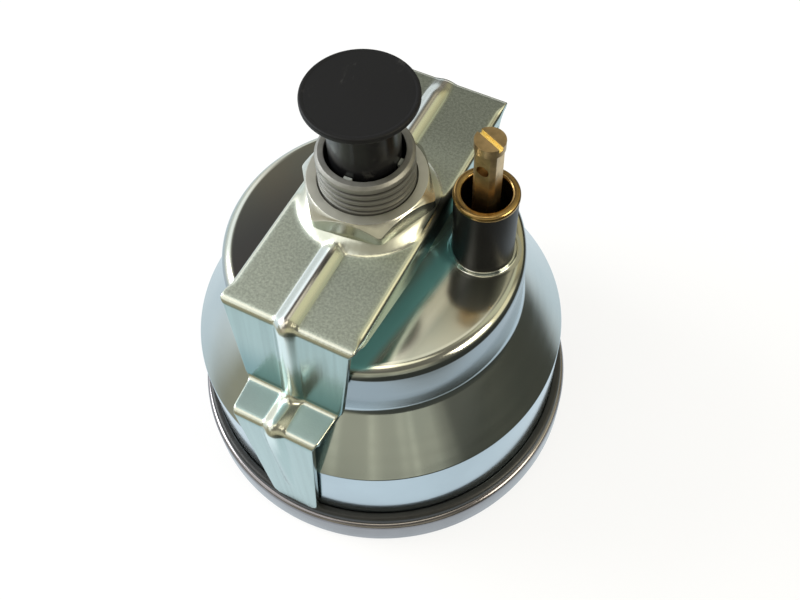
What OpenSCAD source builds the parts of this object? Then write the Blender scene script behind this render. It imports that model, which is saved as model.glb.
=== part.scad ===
// Magnetic speedometer for an 80 mm dash hole, with its rear clamp bracket.
// Z = 0 is the front face of the bezel and +Z points to the drive cable boss.
// The bracket lies along Y. Seen from the front, the dial's top is at -X and its right at -Y.

/* [Case] */
// Outer radius of the body that fills the dash hole
case_r = 39.8; // [39.4:0.1:41]
// Outer radius of the narrower rear part of the body
rear_r = 30.4; // [30.2:0.1:31.5]
// Thickness of the case sheet
case_t = 0.8; // [0.6:0.05:0.9]
// Height of the edge where the cone begins
edge_z = 28.8; // [27.8:0.1:30]
// Height where the cone meets the rear part
cone_z = 41.6; // [40:0.1:43]
// Height of the rear face of the case
case_top_z = 56.5; // [56:0.1:59]
// Radius of the rounded rear shoulder
shoulder_r = 2.7; // [1.6:0.1:2.8]
// Radius of the hollow blend above the cone
blend_r = 3.4; // [2:0.1:4.5]
// Height of the drawn collar round the reset tube
collar_h = 0.8; // [0.6:0.1:1.6]

/* [Front] */
// How far the bezel stands out past the body
bezel_reach = 2.8; // [2.6:0.1:5]
// Depth of the bezel
bezel_h = 8; // [7.6:0.1:8.2]
// Thickness of the bezel sheet
bezel_t = 0.8; // [0.6:0.05:0.9]
// How far the bezel's front lip reaches in from the body's radius
bezel_lip = 3.2; // [2.8:0.1:4]
// Radius of the bezel's rolled corners
bezel_round = 1.2; // [0.9:0.1:1.5]
// Thickness of the lens
lens_t = 2; // [1.8:0.1:2.1]
// Thickness of the rubber lip on each face of the lens
lip_t = 0.5; // [0.4:0.05:0.6]
// Height of the rubber seal that lies on the dash
seal_h = 2.3; // [1.6:0.1:2.4]
// Width of the dash seal round the body
seal_reach = 1.9; // [1.7:0.1:2.4]
// Height of the dial's front face
dial_z = 9; // [8.8:0.1:9.2]
// Thickness of the dial plate
dial_t = 0.8; // [0.6:0.05:0.9]

/* [Drive boss] */
// Crest radius of the cable thread
thread_r = 9; // [8.8:0.1:9.2]
// Pitch of the cable thread
thread_pitch = 1.5; // [1.4:0.05:1.6]
// Height of the boss's rear end
boss_z = 83.6; // [82.6:0.1:85]
// Radius of the cable socket in the boss
socket_r = 7.27; // [7.1:0.01:7.4]
// How far the four keys stand into the cable socket
key_h = 0.67; // [0.6:0.01:0.7]
// Width of each key
key_w = 1.2; // [1:0.1:1.6]
// Radius of the boss's inner flange
boss_flange_r = 12.5; // [12:0.1:13.5]

/* [Dust plug] */
// Radius of the plug's disc
plug_r = 10.1; // [9.8:0.1:10.4]
// Thickness of the plug's disc
plug_t = 1.2; // [1:0.1:1.8]
// Height of the plug's outer face
plug_z = 97.5; // [96.5:0.1:99]

/* [Bracket and nut] */
// Height of the bracket strip's outer face
strip_z = 70; // [69:0.1:70.5]
// Half width of the bracket strip
strip_w = 13.4; // [13:0.1:13.7]
// Thickness of the bracket sheet
strip_t = 1.2; // [1:0.05:1.3]
// Distance of the strip's bends from the rear part's wall
bend_reach = 0.7; // [0.5:0.1:1.2]
// How much further out the bend on the +Y side lies
far_reach = 2.1; // [1.6:0.1:2.2]
// How far the leg leans out from the bend to the shelf
leg_lean = 3; // [2.5:0.1:3.5]
// Height of the shelf on each leg
shelf_z = 47.3; // [46:0.1:48]
// Half width of the leg where it meets the shelf
knee_w = 9.9; // [9.4:0.1:10.4]
// Half width of the foot at the shelf
foot_w = 8.9; // [8.5:0.1:9.3]
// Half width of the foot at its end
foot_end_w = 5.3; // [4.8:0.1:6]
// Distance between the foot and the case wall
foot_gap = 0.4; // [0.3:0.05:0.6]
// Height of the dome that the nut presses on
dome_h = 2.1; // [1.8:0.1:2.4]
// Radius of the dome's foot
dome_r = 13.2; // [12.9:0.1:13.4]
// Radius of the dome's flat top
dome_top_r = 11.9; // [11.8:0.1:12.2]
// Width of the pressed rib
rib_w = 4.8; // [4:0.1:5.4]
// Height of the pressed rib
rib_h = 1.3; // [1:0.1:1.35]
// Depth of the turned-down edges beside the dome
edge_h = 6; // [5:0.1:6.5]
// Depth of the turned-down edges by the bends
edge_end_h = 2.8; // [2.2:0.1:3.5]
// Corner radius of the hexagon nut
nut_r = 13.1; // [12.6:0.1:13.4]
// Height of the nut's corners
nut_corner_h = 1.9; // [1.6:0.1:2.6]
// Height of the chamfer above the nut's corners
nut_chamfer_h = 2.5; // [1.4:0.1:2.8]
// Radius of the nut's top face
nut_top_r = 11.1; // [10.6:0.1:11.3]

/* [Trip reset] */
// Distance of the reset shaft from the middle, along X
reset_x = 20.3; // [20.2:0.05:20.6]
// Distance of the reset shaft from the middle, along Y
reset_y = 7.5; // [7.3:0.1:7.7]
// Outer radius of the reset tube
tube_r = 6.06; // [5.9:0.02:6.1]
// Wall of the reset tube
tube_t = 1.1; // [0.9:0.05:1.2]
// Height of the ferrule's rim
ferrule_z = 74.4; // [72:0.1:76]
// Height of the brass ferrule's rim above the tube
ferrule_h = 1.4; // [1:0.1:1.8]
// Radius of the reset shaft's head
reset_head_r = 2.8; // [2.6:0.05:2.9]
// Height of the reset shaft's end
reset_z = 88.5; // [86.5:0.1:90]
// Distance across the flats of the reset shaft
reset_flats = 4.4; // [4.2:0.1:4.6]
// Radius of the cross hole in the reset shaft
cross_hole_r = 1.2; // [0.9:0.05:1.3]

/* [Movement] */
// Height of the front plate's front face
front_plate_z = 24.5; // [24.3:0.1:24.6]
// Space between the front plate's rim and the case
front_plate_gap = 5; // [4.2:0.1:5.4]
// Thickness of both movement plates
plate_t = 2; // [1.8:0.1:2.1]
// Space between the rear plate's rim and the case
rear_plate_gap = 1.1; // [0.8:0.1:1.6]
// Distance from the rear plate to the case
rear_space = 3; // [2.9:0.1:3.2]
// Radius of the drive shaft
drive_r = 2.5; // [2.4:0.05:2.55]
// Width of the square socket for the cable
cable_square = 2.8; // [2.6:0.1:3]
// Height of the cross shafts
cross_z = 44.8; // [44.6:0.1:45]
// Radius of the small arbors
arbor_r = 0.9; // [0.8:0.05:0.92]
// Outer radius of the magnet
magnet_r = 11.5; // [11:0.1:11.7]
// Outer radius of the aluminium speed cup
cup_r = 12.6; // [12.4:0.1:12.8]
// Outer radius of the steel field cup
field_r = 14.2; // [14:0.1:14.6]
// Radius of the pointer spindle
spindle_r = 0.6; // [0.5:0.05:0.7]
// Length of the pointer from the middle to its tip
pointer_l = 31; // [28:0.5:34]
// Number of turns in the hairspring
hairspring_turns = 4; // [3:1:5]
// Radius of the hairspring's outer turn
hairspring_r = 6.4; // [6:0.1:6.8]

/* [Counters] */
// Distance of the odometer shaft from the middle
odometer_x = 22.5; // [22.4:0.05:22.6]
// Radius of the odometer drums
odometer_r = 6.6; // [6.4:0.1:6.7]
// Number of odometer drums
odometer_drums = 5; // [5:1:5]
// Radius of the trip drums
trip_r = 6; // [5.8:0.1:6.1]
// Number of trip drums
trip_drums = 3; // [3:1:3]
// Distance from one drum to the next
drum_pitch = 3.6; // [3.5:0.05:3.65]
// Width of the band that carries a drum's figures
drum_w = 2.4; // [2.2:0.05:2.45]
// Distance of a drum's rim from the back of the dial
drum_gap = 0.8; // [0.7:0.05:0.9]

/* [Fits] */
// Radial clearance of a turning or sliding fit
run_gap = 0.05; // [0.02:0.01:0.08]
// Clearance of parts that are pressed or laid together
seat_gap = 0.02; // [0.01:0.01:0.03]
// Clearance of parts that only pass through a hole
pass_gap = 0.3; // [0.2:0.05:0.4]

/* [Hidden] */
$fn = 96;

// Front stack, from the bezel lip to the case flange
bezel_r = case_r + bezel_reach;
bezel_open_r = case_r - bezel_lip;
seal_r = case_r + seal_reach;
lens_z = bezel_t + lip_t;
gasket_top_z = lens_z + lens_t + lip_t;
crimp_z = bezel_h - bezel_t;
flange_z = crimp_z - case_t;
ring_r = bezel_r - bezel_t - 0.2;
lens_r = ring_r - 1.5;
gasket_grip = 2.1;
visor_skirt_r = case_r - case_t - 0.6;
visor_open_r = bezel_open_r - 0.2;
visor_mouth_r = bezel_open_r + 1;
dial_back_z = dial_z + dial_t;
dial_r = case_r - case_t - 0.7;
cone_turn = atan((case_r - rear_r) / (cone_z - edge_z));
sheet_drop = case_t * tan(cone_turn / 2);

// Movement plates and what stands between them
case_under_z = case_top_z - case_t;
rear_plate_top_z = case_under_z - rear_space;
rear_plate_z = rear_plate_top_z - plate_t;
front_plate_top_z = front_plate_z + plate_t;
front_plate_r = case_r - case_t - front_plate_gap;
rear_plate_r = rear_r - case_t - rear_plate_gap;
pillar_ring_r = rear_plate_r - 3;
pillar_r = 2.2;
pillar_angles = [70, 160, 265, 350];
case_screw_y = 20;
case_screw_r = 2;
case_screw_head_r = 3.5;
case_screw_head_h = 2.4;
case_pad_r = 4;
dial_screw_y = 27;
dial_post_r = 2.2;
dial_screw_r = 0.9;
dial_screw_head_r = 1.8;
dial_screw_head_h = 0.8;
dial_screw_l = 5;
dial_slot_w = 0.4;
dial_slot_h = 0.45;

// Drive boss, bush and shaft
thread_z = strip_z - 1;
thread_depth = 0.54 * thread_pitch;
crest_relief = 0.2;
lower_crest_r = thread_r - crest_relief;
socket_z = thread_z;
bush_r = 4.5;
bush_top_z = socket_z - 3;
drive_top_z = socket_z + 3;
square_depth = 14;
circlip_r = 3.5;
circlip_t = 0.8;
boss_hole_r = thread_r + pass_gap;

// Nut, dome and bracket
nut_z = strip_z + dome_h;
nut_hex_turn = 7.7;
nut_top_z = nut_z + nut_corner_h + nut_chamfer_h;
bend_y = rear_r + bend_reach;
far_bend_y = bend_y + far_reach;
knee_y = bend_y + leg_lean;
foot_y = case_r + foot_gap + strip_t;
foot_z = bezel_h + seal_h;
bend_r = 1.6;
rib_end_z = 20;
rib_sink = 0.6;

// Dust plug
stem_r = socket_r - key_h - 2 * run_gap;
stem_wall = 1.2;
plug_under_z = plug_z - plug_t;
stem_z = socket_z;

// Reset tube and shaft
tube_top_z = ferrule_z - ferrule_h;
tube_flange_r = 7.3;
collar_wall = 1;
ferrule_sleeve_l = 5;
ferrule_sleeve_t = 0.35;
ferrule_r = tube_r + 0.16;
reset_head_h = 1.9;
reset_flats_turn = -5;
slot_turn = -24;
slot_w = 0.9;
slot_h = 0.8;
cross_hole_z = reset_z - 6.3;
reset_collar_r = 4.3;
reset_collar_h = 2;
reset_lower_r = 1.5;
reset_journal_r = 2.5;
reset_flats_r = reset_head_r - 0.2;

// Speed cup, magnet and spindle
shaft_end_z = 33;
field_top_z = 39;
field_t = 0.8;
field_skirt_z = 32;
hub_r = 4;
magnet_z = shaft_end_z - 0.2;
magnet_h = 4.8;
cup_z = 31;
cup_t = 0.5;
cup_wall = 0.4;
cup_skirt_h = 6.6;
spindle_top_z = shaft_end_z + 3.2;
spindle_hole_h = 3.5;
spindle_front_z = 5.8;
bridge_z = 19.5;
bridge_t = 1.2;
bridge_y = 11;
bridge_w = 3;
bridge_screw_r = 0.9;
bridge_screw_head_r = 1.8;
bridge_screw_head_h = 1.2;
collet_r = 1.3;
collet_z = 16.6;
collet_h = 1.8;
stud_r = 0.5;
stud_z = 16.8;
hairspring_z = 17.2;
hairspring_h = 0.5;
hairspring_t = 0.14;
pointer_z = 7.2;
pointer_t = 0.6;
pointer_turn = 45;
pointer_tail = 9;
pointer_half_w = 1.1;
pointer_hub_r = 5;
pointer_stem_r = 2;
cap_z = 4.8;
cap_r = 4.2;
cap_stem_z = 8.4;
stop_r = 24;
stop_pin_r = 0.6;
stop_pin_z = 6.6;
stop_turn = pointer_turn - asin((pointer_half_w + stop_pin_r + run_gap) / stop_r);

// Worm drive. Each gear is [teeth, pitch radius]; the addendum is a share of its module.
worm_teeth_share = 0.17;
drive_worm_r = drive_r + 0.5;
drive_gear = [20, 4.5];
cross_x = drive_worm_r + drive_gear[1];
small_worm_r = 1.5;
riser_gear = [20, 6];
riser_x = cross_x + small_worm_r + riser_gear[1];
odometer_gear = [24, odometer_x - riser_x - small_worm_r];
trip_riser_gear = [20, 5];
trip_riser_x = cross_x + small_worm_r + trip_riser_gear[1];
trip_gear = [24, reset_x - trip_riser_x - small_worm_r];
wheel_w = 1.4;
lug_t = 1.5;
cross_lug_y = 4.5;
arbor_hole_r = arbor_r + run_gap;
drive_worm_h = 8;
cross_worm_h = 6;
riser_worm_h = 6.5;
arbor_reach = 5.9;

// Counters. Drum 1 shows the units and stands at the -Y end.
counter_shaft_r = 1.5;
trip_shaft_r = 1.2;
odometer_z = dial_back_z + drum_gap + odometer_r;
trip_z = dial_back_z + drum_gap + trip_r;
odometer_y0 = -drum_pitch * (odometer_drums - 1) / 2;
trip_y0 = -6;
hub_over = (drum_pitch - drum_w - 0.2) / 2;
odometer_wheel_y = odometer_y0 - 4;
trip_wheel_y = trip_y0 - 4.2;
drum_hub_r = 2.6;
band_teeth = 20;
odometer_band_r = odometer_r - 1.1;
trip_band_r = trip_r - 1;
carry_teeth = 8;
carry_w = 0.8;
carry_shaft_r = 0.6;
carry_turn = 25;
odometer_carry_d = odometer_band_r * (1 + carry_teeth / band_teeth);
trip_carry_d = trip_band_r * (1 + carry_teeth / band_teeth);
odometer_carry = [-odometer_x - odometer_carry_d * cos(carry_turn),
                  odometer_z + odometer_carry_d * sin(carry_turn)];
trip_carry = [reset_x + trip_carry_d * cos(carry_turn),
              trip_z + trip_carry_d * sin(carry_turn)];
odometer_lug_y = [odometer_wheel_y - 3, -odometer_y0 + drum_pitch / 2 + 0.9];
crown_teeth = 18;
pinion_teeth = 9;
pinion_r = 2.25;
crown_r = pinion_r * crown_teeth / pinion_teeth;
crown_y = reset_y - pinion_r;
crown_tooth_h = 0.5;
crown_back_y = trip_y0 + drum_pitch * (trip_drums - 1) + drum_w / 2 + hub_over + seat_gap;
pinion_z = trip_z + crown_r;
pinion_w = 2.4;
trip_lug_y = [trip_wheel_y - 2.9, reset_y + pinion_r + 1.7];
window_h = 4.6;
window_edge = 0.6;

function unit(v) = v / norm(v);

// Points of the arc that rounds corner b of the path a, b, c
function fillet(a, b, c, r, n = 6) =
    let (u = unit(a - b), v = unit(c - b), half = acos(u * v) / 2)
    let (o = b + unit(u + v) * r / sin(half))
    let (s = b + u * r / tan(half) - o, e = b + v * r / tan(half) - o)
    let (from = atan2(s.y, s.x), turn = (atan2(e.y, e.x) - from + 540) % 360 - 180)
    [for (i = [0:n]) o + r * [cos(from + turn * i / n), sin(from + turn * i / n)]];

// Closed outline from corners [x, y, rounding radius]
function outline(p) =
    let (n = len(p))
    [for (i = [0:n - 1])
        let (a = p[(i + n - 1) % n], b = p[i], c = p[(i + 1) % n])
        each (b.z > 0 ? fillet([a.x, a.y], [b.x, b.y], [c.x, c.y], b.z) : [[b.x, b.y]])];

module turned(p) {
    rotate_extrude() polygon(outline(p));
}

module ring(outer, inner, h) {
    difference() {
        cylinder(r = outer, h = h);
        translate([0, 0, -1]) cylinder(r = inner, h = h + 2);
    }
}

// Lays a shape that was drawn round Z along Y instead, from y upwards
module along_y(x, y, z) {
    translate([x, y, z]) rotate([-90, 0, 0]) children();
}

// Straight-toothed wheel with a tooth at angle 0
module toothed_wheel(gear, h, bore, share = worm_teeth_share, add = 0.65, ded = 1) {
    n = gear[0];
    r = gear[1];
    m = 2 * r / n;
    step = 360 / n;
    difference() {
        linear_extrude(h)
            polygon([for (i = [0:n - 1], e = [[-0.36, -1], [-0.5, 0], [0.5, 0], [0.36, -1]])
                let (tip = e[1] == 0, half = (tip ? 0.45 : 1.4) * share)
                let (rad = tip ? r + add * m : r - ded * m)
                rad * [cos((i + sign(e[0]) * half) * step), sin((i + sign(e[0]) * half) * step)]]);
        translate([0, 0, -1]) cylinder(r = bore, h = h + 2);
    }
}

// Single right-hand worm, centred on Z = 0, whose groove faces the given angle there
module worm(r, lead, h, groove, depth) {
    turns = h / lead;
    translate([0, 0, -h / 2])
        linear_extrude(height = h, twist = -360 * turns, slices = ceil(turns * 9), $fn = 16)
            rotate(groove + 180 - 180 * turns)
                translate([depth, 0]) circle(r = r);
}

function module_of(gear) = 2 * gear[1] / gear[0];
function lead_of(gear) = PI * module_of(gear);
function worm_throw(gear) = 0.8 * module_of(gear);

module bezel() {
    color("#a9a7b2") turned([
        [bezel_open_r, 0, 0.3], [bezel_r, 0, bezel_round],
        [bezel_r, bezel_h, bezel_round], [case_r + 0.4, bezel_h, 0],
        [case_r + 0.4, crimp_z, 0], [bezel_r - bezel_t, crimp_z, 0.4],
        [bezel_r - bezel_t, bezel_t, 0.4], [bezel_open_r, bezel_t, 0]]);
}

module case_shell() {
    color("#b2bfc7") difference() {
        union() {
            turned([
                [ring_r, flange_z, 0], [ring_r, crimp_z, 0], [case_r, crimp_z, 0],
                [case_r, edge_z, 0.5], [rear_r, cone_z, blend_r],
                [rear_r, case_top_z, shoulder_r], [boss_hole_r, case_top_z, 0],
                [boss_hole_r, case_under_z, 0],
                [rear_r - case_t, case_under_z, shoulder_r - case_t],
                [rear_r - case_t, cone_z - sheet_drop, blend_r + case_t],
                [case_r - case_t, edge_z - sheet_drop, 0], [case_r - case_t, flange_z, 0]]);
            translate([reset_x, reset_y, 0])
                turned([
                    [tube_r / 2, case_under_z, 0], [tube_r + collar_wall, case_under_z, 0],
                    [tube_r + collar_wall, case_top_z + collar_h, 0.4],
                    [tube_r / 2, case_top_z + collar_h, 0]]);
        }
        translate([reset_x, reset_y, case_under_z - 1])
            cylinder(r = tube_r + seat_gap, h = case_t + collar_h + 2);
        for (s = [-1, 1])
            translate([0, s * case_screw_y, case_under_z - 1])
                cylinder(r = case_screw_r + run_gap, h = case_t + 2);
    }
}

module lens() {
    color("#d8e4ea", 0.35) translate([0, 0, lens_z]) cylinder(r = lens_r, h = lens_t);
}

module lens_gasket() {
    color("#1c1c1c") turned([
        [ring_r - gasket_grip - 1.5, bezel_t, 0], [ring_r, bezel_t, 0.3],
        [ring_r, gasket_top_z, 0], [ring_r - gasket_grip - 1.5, gasket_top_z, 0],
        [ring_r - gasket_grip - 1.5, lens_z + lens_t, 0], [lens_r + 0.1, lens_z + lens_t, 0],
        [lens_r + 0.1, lens_z, 0], [ring_r - gasket_grip - 1.5, lens_z, 0]]);
}

module visor_ring() {
    color("#202020") turned([
        [visor_mouth_r, gasket_top_z, 0], [ring_r, gasket_top_z, 0], [ring_r, flange_z, 0],
        [visor_skirt_r, flange_z, 0], [visor_skirt_r, dial_z, 0], [visor_open_r, dial_z, 0]]);
}

module dash_seal() {
    color("#242322") turned([
        [case_r + 0.1, bezel_h, 0], [seal_r, bezel_h, 0],
        [seal_r, foot_z, 0.5], [case_r + 0.1, foot_z, 0.3]]);
}

module counter_window(x, low_y, high_y) {
    translate([x - window_h / 2, low_y - window_edge, dial_z - 1])
        cube([window_h, high_y - low_y + 2 * window_edge, dial_t + 2]);
}

module dial() {
    color("#181818") difference() {
        translate([0, 0, dial_z]) cylinder(r = dial_r, h = dial_t);
        translate([0, 0, dial_z - 1]) cylinder(r = pointer_stem_r, h = dial_t + 2);
        counter_window(-odometer_x, odometer_y0 - drum_w / 2, -odometer_y0 + drum_w / 2);
        counter_window(reset_x, trip_y0 - drum_w / 2,
                       trip_y0 + drum_pitch * (trip_drums - 1) + drum_w / 2);
        for (s = [-1, 1])
            translate([0, s * dial_screw_y, dial_z - 1])
                cylinder(r = dial_screw_r + run_gap, h = dial_t + 2);
        rotate(stop_turn) translate([stop_r, 0, dial_z - 1])
            cylinder(r = stop_pin_r + seat_gap, h = dial_t + 2);
    }
}

// Slotted screw along -Z whose head lies under z and whose shank runs up from there
module dial_screw(y) {
    translate([0, y, dial_z]) difference() {
        union() {
            translate([0, 0, -dial_screw_head_h]) cylinder(r = dial_screw_head_r, h = dial_screw_head_h);
            cylinder(r = dial_screw_r, h = dial_screw_l);
        }
        translate([-dial_screw_l, -dial_slot_w / 2, -dial_screw_head_h - dial_screw_l])
            cube([2 * dial_screw_l, dial_slot_w, dial_screw_l + dial_slot_h]);
    }
}

module dial_screws() {
    color("#55585c") for (s = [-1, 1]) dial_screw(s * dial_screw_y);
}

module zero_stop_pin() {
    color("#8d8f92") rotate(stop_turn) translate([stop_r, 0, stop_pin_z])
        cylinder(r = stop_pin_r, h = dial_back_z - stop_pin_z);
}

// Crests and roots of the cable thread, drawn as closed grooves. Crests in the nut are a little lower.
function thread_profile() =
    let (turns = floor((boss_z - 1 - thread_z) / thread_pitch))
    [for (i = [0:turns - 1], k = [0:3])
        let (z = thread_z + (i + [0.12, 0.46, 0.66, 1][k]) * thread_pitch)
        let (crest = z > nut_top_z + thread_pitch / 2 ? thread_r : lower_crest_r)
        [crest - (k == 1 || k == 2 ? thread_depth : 0), z]];

module drive_boss() {
    color("#8c8b82") {
        difference() {
            rotate_extrude() polygon(concat(
                [[bush_r, rear_plate_top_z], [boss_flange_r, rear_plate_top_z],
                 [boss_flange_r, case_under_z], [lower_crest_r, case_under_z]],
                thread_profile(),
                [[thread_r, boss_z - 0.6], [thread_r - 0.6, boss_z], [socket_r, boss_z],
                 [socket_r, socket_z], [bush_r, socket_z]]));
        }
        for (k = [0:3])
            rotate(3 + 90 * k) intersection() {
                translate([0, 0, socket_z]) ring(socket_r + 0.5, socket_r - key_h, boss_z - socket_z);
                translate([socket_r - 1, -key_w / 2, socket_z - 1])
                    cube([2, key_w, boss_z - socket_z + 2]);
            }
    }
}

module case_screws() {
    color("#b5b8b4") for (s = [-1, 1]) translate([0, s * case_screw_y, 0]) difference() {
        union() {
            translate([0, 0, case_top_z]) cylinder(r = case_screw_head_r, h = case_screw_head_h);
            translate([0, 0, rear_plate_z + 0.4])
                cylinder(r = case_screw_r, h = case_top_z - rear_plate_z);
        }
        translate([-5, -0.5, case_top_z + case_screw_head_h - 1.1]) cube([10, 1, 2]);
    }
}

module reset_tube() {
    color("#161616") translate([reset_x, reset_y, 0]) turned([
        [tube_r - tube_t, rear_plate_top_z, 0], [tube_flange_r, rear_plate_top_z, 0],
        [tube_flange_r, case_under_z, 0], [tube_r, case_under_z, 0], [tube_r, tube_top_z, 0],
        [tube_r - tube_t, tube_top_z, 0]]);
}

module reset_ferrule() {
    in_r = tube_r - tube_t - seat_gap;
    color("#96732f") translate([reset_x, reset_y, 0]) turned([
        [in_r - ferrule_sleeve_t, tube_top_z - ferrule_sleeve_l, 0],
        [in_r, tube_top_z - ferrule_sleeve_l, 0], [in_r, tube_top_z, 0],
        [ferrule_r, tube_top_z, 0.3], [ferrule_r, ferrule_z, 0.6],
        [in_r - ferrule_sleeve_t, ferrule_z, 0.6]]);
}

// Side view of half the bracket: outer faces as [y, z, rounding], from the middle to the foot
function bracket_path(grow, bend) = [
    [0, strip_z + grow, 0], [bend + grow, strip_z + grow, bend_r + grow],
    [knee_y + grow, shelf_z + grow, 1 - min(0.4, grow / 4)],
    [foot_y + grow, shelf_z + grow, bend_r + grow], [foot_y + grow, foot_z, 0]];

module bracket_side(bend) {
    outer = bracket_path(0, bend);
    inner = [
        [foot_y - strip_t, foot_z, 0], [foot_y - strip_t, shelf_z - strip_t, 0.4],
        [knee_y - strip_t, shelf_z - strip_t, 1 + strip_t],
        [bend - strip_t, strip_z - strip_t, 0.4], [0, strip_z - strip_t, 0]];
    rotate([90, 0, 90]) translate([0, 0, -strip_w])
        linear_extrude(2 * strip_w) polygon(outline(concat(outer, inner)));
}

// Front view of one leg, which narrows to the foot
module leg_outline() {
    half = [
        [strip_w, strip_z + 9, 0], [strip_w, strip_z - bend_r, 0.5], [knee_w, shelf_z + 0.6, 0],
        [foot_w, shelf_z - 0.6, 0], [foot_end_w, foot_z, 1]];
    other = [for (i = [len(half) - 1:-1:0]) [-half[i].x, half[i].y, half[i].z]];
    translate([0, foot_y + 4, 0]) rotate([90, 0, 0])
        linear_extrude(foot_y - bend_y + 8) polygon(outline(concat(half, other)));
}

// One turned-down edge of the strip, deeper beside the dome
module strip_edge() {
    rotate([90, 0, 90]) linear_extrude(strip_t) polygon([
        [far_bend_y - 1.8, strip_z - 0.6], [far_bend_y - 2.6, strip_z - edge_end_h],
        [dome_r * 0.8, strip_z - edge_h], [-dome_r * 0.8, strip_z - edge_h],
        [2.6 - bend_y, strip_z - edge_end_h], [1.8 - bend_y, strip_z - 0.6]]);
}

// Pressed rib on the outer faces, which sinks away at its lower end
module rib(bend) {
    top = [
        [dome_top_r, strip_z + rib_h, 0], [bend + rib_h, strip_z + rib_h, bend_r + rib_h],
        [knee_y + rib_h, shelf_z + rib_h, 1], [foot_y + rib_h, shelf_z + rib_h, bend_r + rib_h],
        [foot_y + rib_h, rib_end_z + 8, 0]];
    under = [
        [foot_y - rib_sink, rib_end_z, 0], [foot_y - rib_sink, shelf_z - rib_sink, 0],
        [knee_y - rib_sink, shelf_z - rib_sink, 0], [bend - rib_sink, strip_z - rib_sink, 0],
        [dome_top_r, strip_z - rib_sink, 0]];
    rotate([90, 0, 90]) translate([0, 0, -rib_w / 2])
        linear_extrude(rib_w) polygon(outline(concat(top, under)));
}

module bracket_half(bend) {
    intersection() {
        bracket_side(bend);
        leg_outline();
    }
    rib(bend);
}

module mounting_bracket() {
    color("#8e988a") difference() {
        union() {
            mirror([0, 1, 0]) bracket_half(bend_y);
            bracket_half(far_bend_y);
            translate([-strip_w, -bend_y + 3, strip_z - strip_t])
                cube([2 * strip_w, bend_y + far_bend_y - 6, strip_t]);
            for (x = [-strip_w, strip_w - strip_t]) translate([x, 0, 0]) strip_edge();
            turned([
                [0, strip_z - 1, 0], [dome_r, strip_z - 1, 0], [dome_r, strip_z, 0],
                [dome_top_r, nut_z, 0.6], [0, nut_z, 0]]);
        }
        turned([
            [0, strip_z - strip_t - 1, 0], [dome_r - strip_t, strip_z - strip_t - 1, 0],
            [dome_r - strip_t, strip_z - strip_t, 0],
            [dome_top_r - 0.8, nut_z - strip_t, 0.4], [0, nut_z - strip_t, 0]]);
        translate([0, 0, strip_z - 5]) cylinder(r = thread_r + pass_gap, h = 12);
    }
}

module mounting_nut() {
    corner_z = nut_z + nut_corner_h;
    top_z = corner_z + nut_chamfer_h;
    color("#b0b2a2") difference() {
        intersection() {
            translate([0, 0, nut_z]) rotate(nut_hex_turn) cylinder(r = nut_r, h = top_z - nut_z, $fn = 6);
            turned([
                [0, nut_z, 0], [nut_r - 0.6, nut_z, 0], [nut_r + 0.1, nut_z + 0.4, 0],
                [nut_r + 0.1, corner_z, 0], [nut_top_r, top_z, 0.4], [0, top_z, 0]]);
        }
        translate([0, 0, nut_z - 1]) cylinder(r = thread_r + run_gap, h = top_z - nut_z + 2);
    }
}

module dust_plug() {
    color("#1a1a1a") turned([
        [0, plug_z, 0], [plug_r, plug_z, 0.3], [plug_r, plug_under_z, 0.2],
        [stem_r, plug_under_z, 0], [stem_r, stem_z, 0.5], [stem_r - stem_wall, stem_z, 0],
        [stem_r - stem_wall, plug_under_z - stem_wall, 0], [0, plug_under_z - stem_wall, 0]]);
}

// Ear that hangs from the rear plate and holds an arbor along Y
module cross_lug(x, y) {
    difference() {
        translate([x - 2, y, cross_z - 2.2]) cube([4, lug_t, rear_plate_z - cross_z + 2.7]);
        along_y(x, y - 1, cross_z) cylinder(r = arbor_hole_r, h = lug_t + 2, $fn = 32);
    }
}

module rear_plate() {
    color("#9a9b94") {
        difference() {
            union() {
                translate([0, 0, rear_plate_z]) cylinder(r = rear_plate_r, h = plate_t);
                for (s = [-1, 1])
                    translate([0, s * case_screw_y, rear_plate_z])
                        cylinder(r = case_pad_r, h = plate_t + rear_space);
            }
            translate([0, 0, rear_plate_z - 1]) cylinder(r = bush_r + 0.5, h = plate_t + 2);
            for (s = [-1, 1])
                translate([0, s * case_screw_y, rear_plate_z - 1])
                    cylinder(r = case_screw_r + seat_gap, h = plate_t + rear_space + 2);
            translate([reset_x, reset_y, rear_plate_z - 1])
                cylinder(r = reset_journal_r + run_gap, h = plate_t + 2);
            translate([-riser_x, odometer_wheel_y, rear_plate_z - 1])
                cylinder(r = arbor_hole_r, h = plate_t + 2);
            translate([trip_riser_x, trip_wheel_y, rear_plate_z - 1])
                cylinder(r = arbor_hole_r, h = plate_t + 2);
        }
        cross_lug(-cross_x, cross_lug_y);
        cross_lug(-cross_x, odometer_wheel_y - 5.4);
        cross_lug(cross_x, cross_lug_y);
        cross_lug(cross_x, trip_wheel_y - 5.4);
    }
}

// Ear in front of the front plate that holds a counter's shaft and its carry shaft
module counter_lug(x, z, carry, y, shaft_hole) {
    out = sign(x);
    far = carry.x + out * 2.2;
    near = x - out * 3;
    difference() {
        translate([0, y + lug_t, 0]) rotate([90, 0, 0]) linear_extrude(lug_t)
            polygon([[near, front_plate_z + 0.5], [near, z - 2.6], [x + out * 2.6, z - 2.6],
                     [far, carry.y - 2.4], [far, front_plate_z + 0.5]]);
        along_y(x, y - 1, z) cylinder(r = shaft_hole, h = lug_t + 2, $fn = 48);
        along_y(carry.x, y - 1, carry.y) cylinder(r = carry_shaft_r + seat_gap, h = lug_t + 2, $fn = 32);
    }
}

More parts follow.
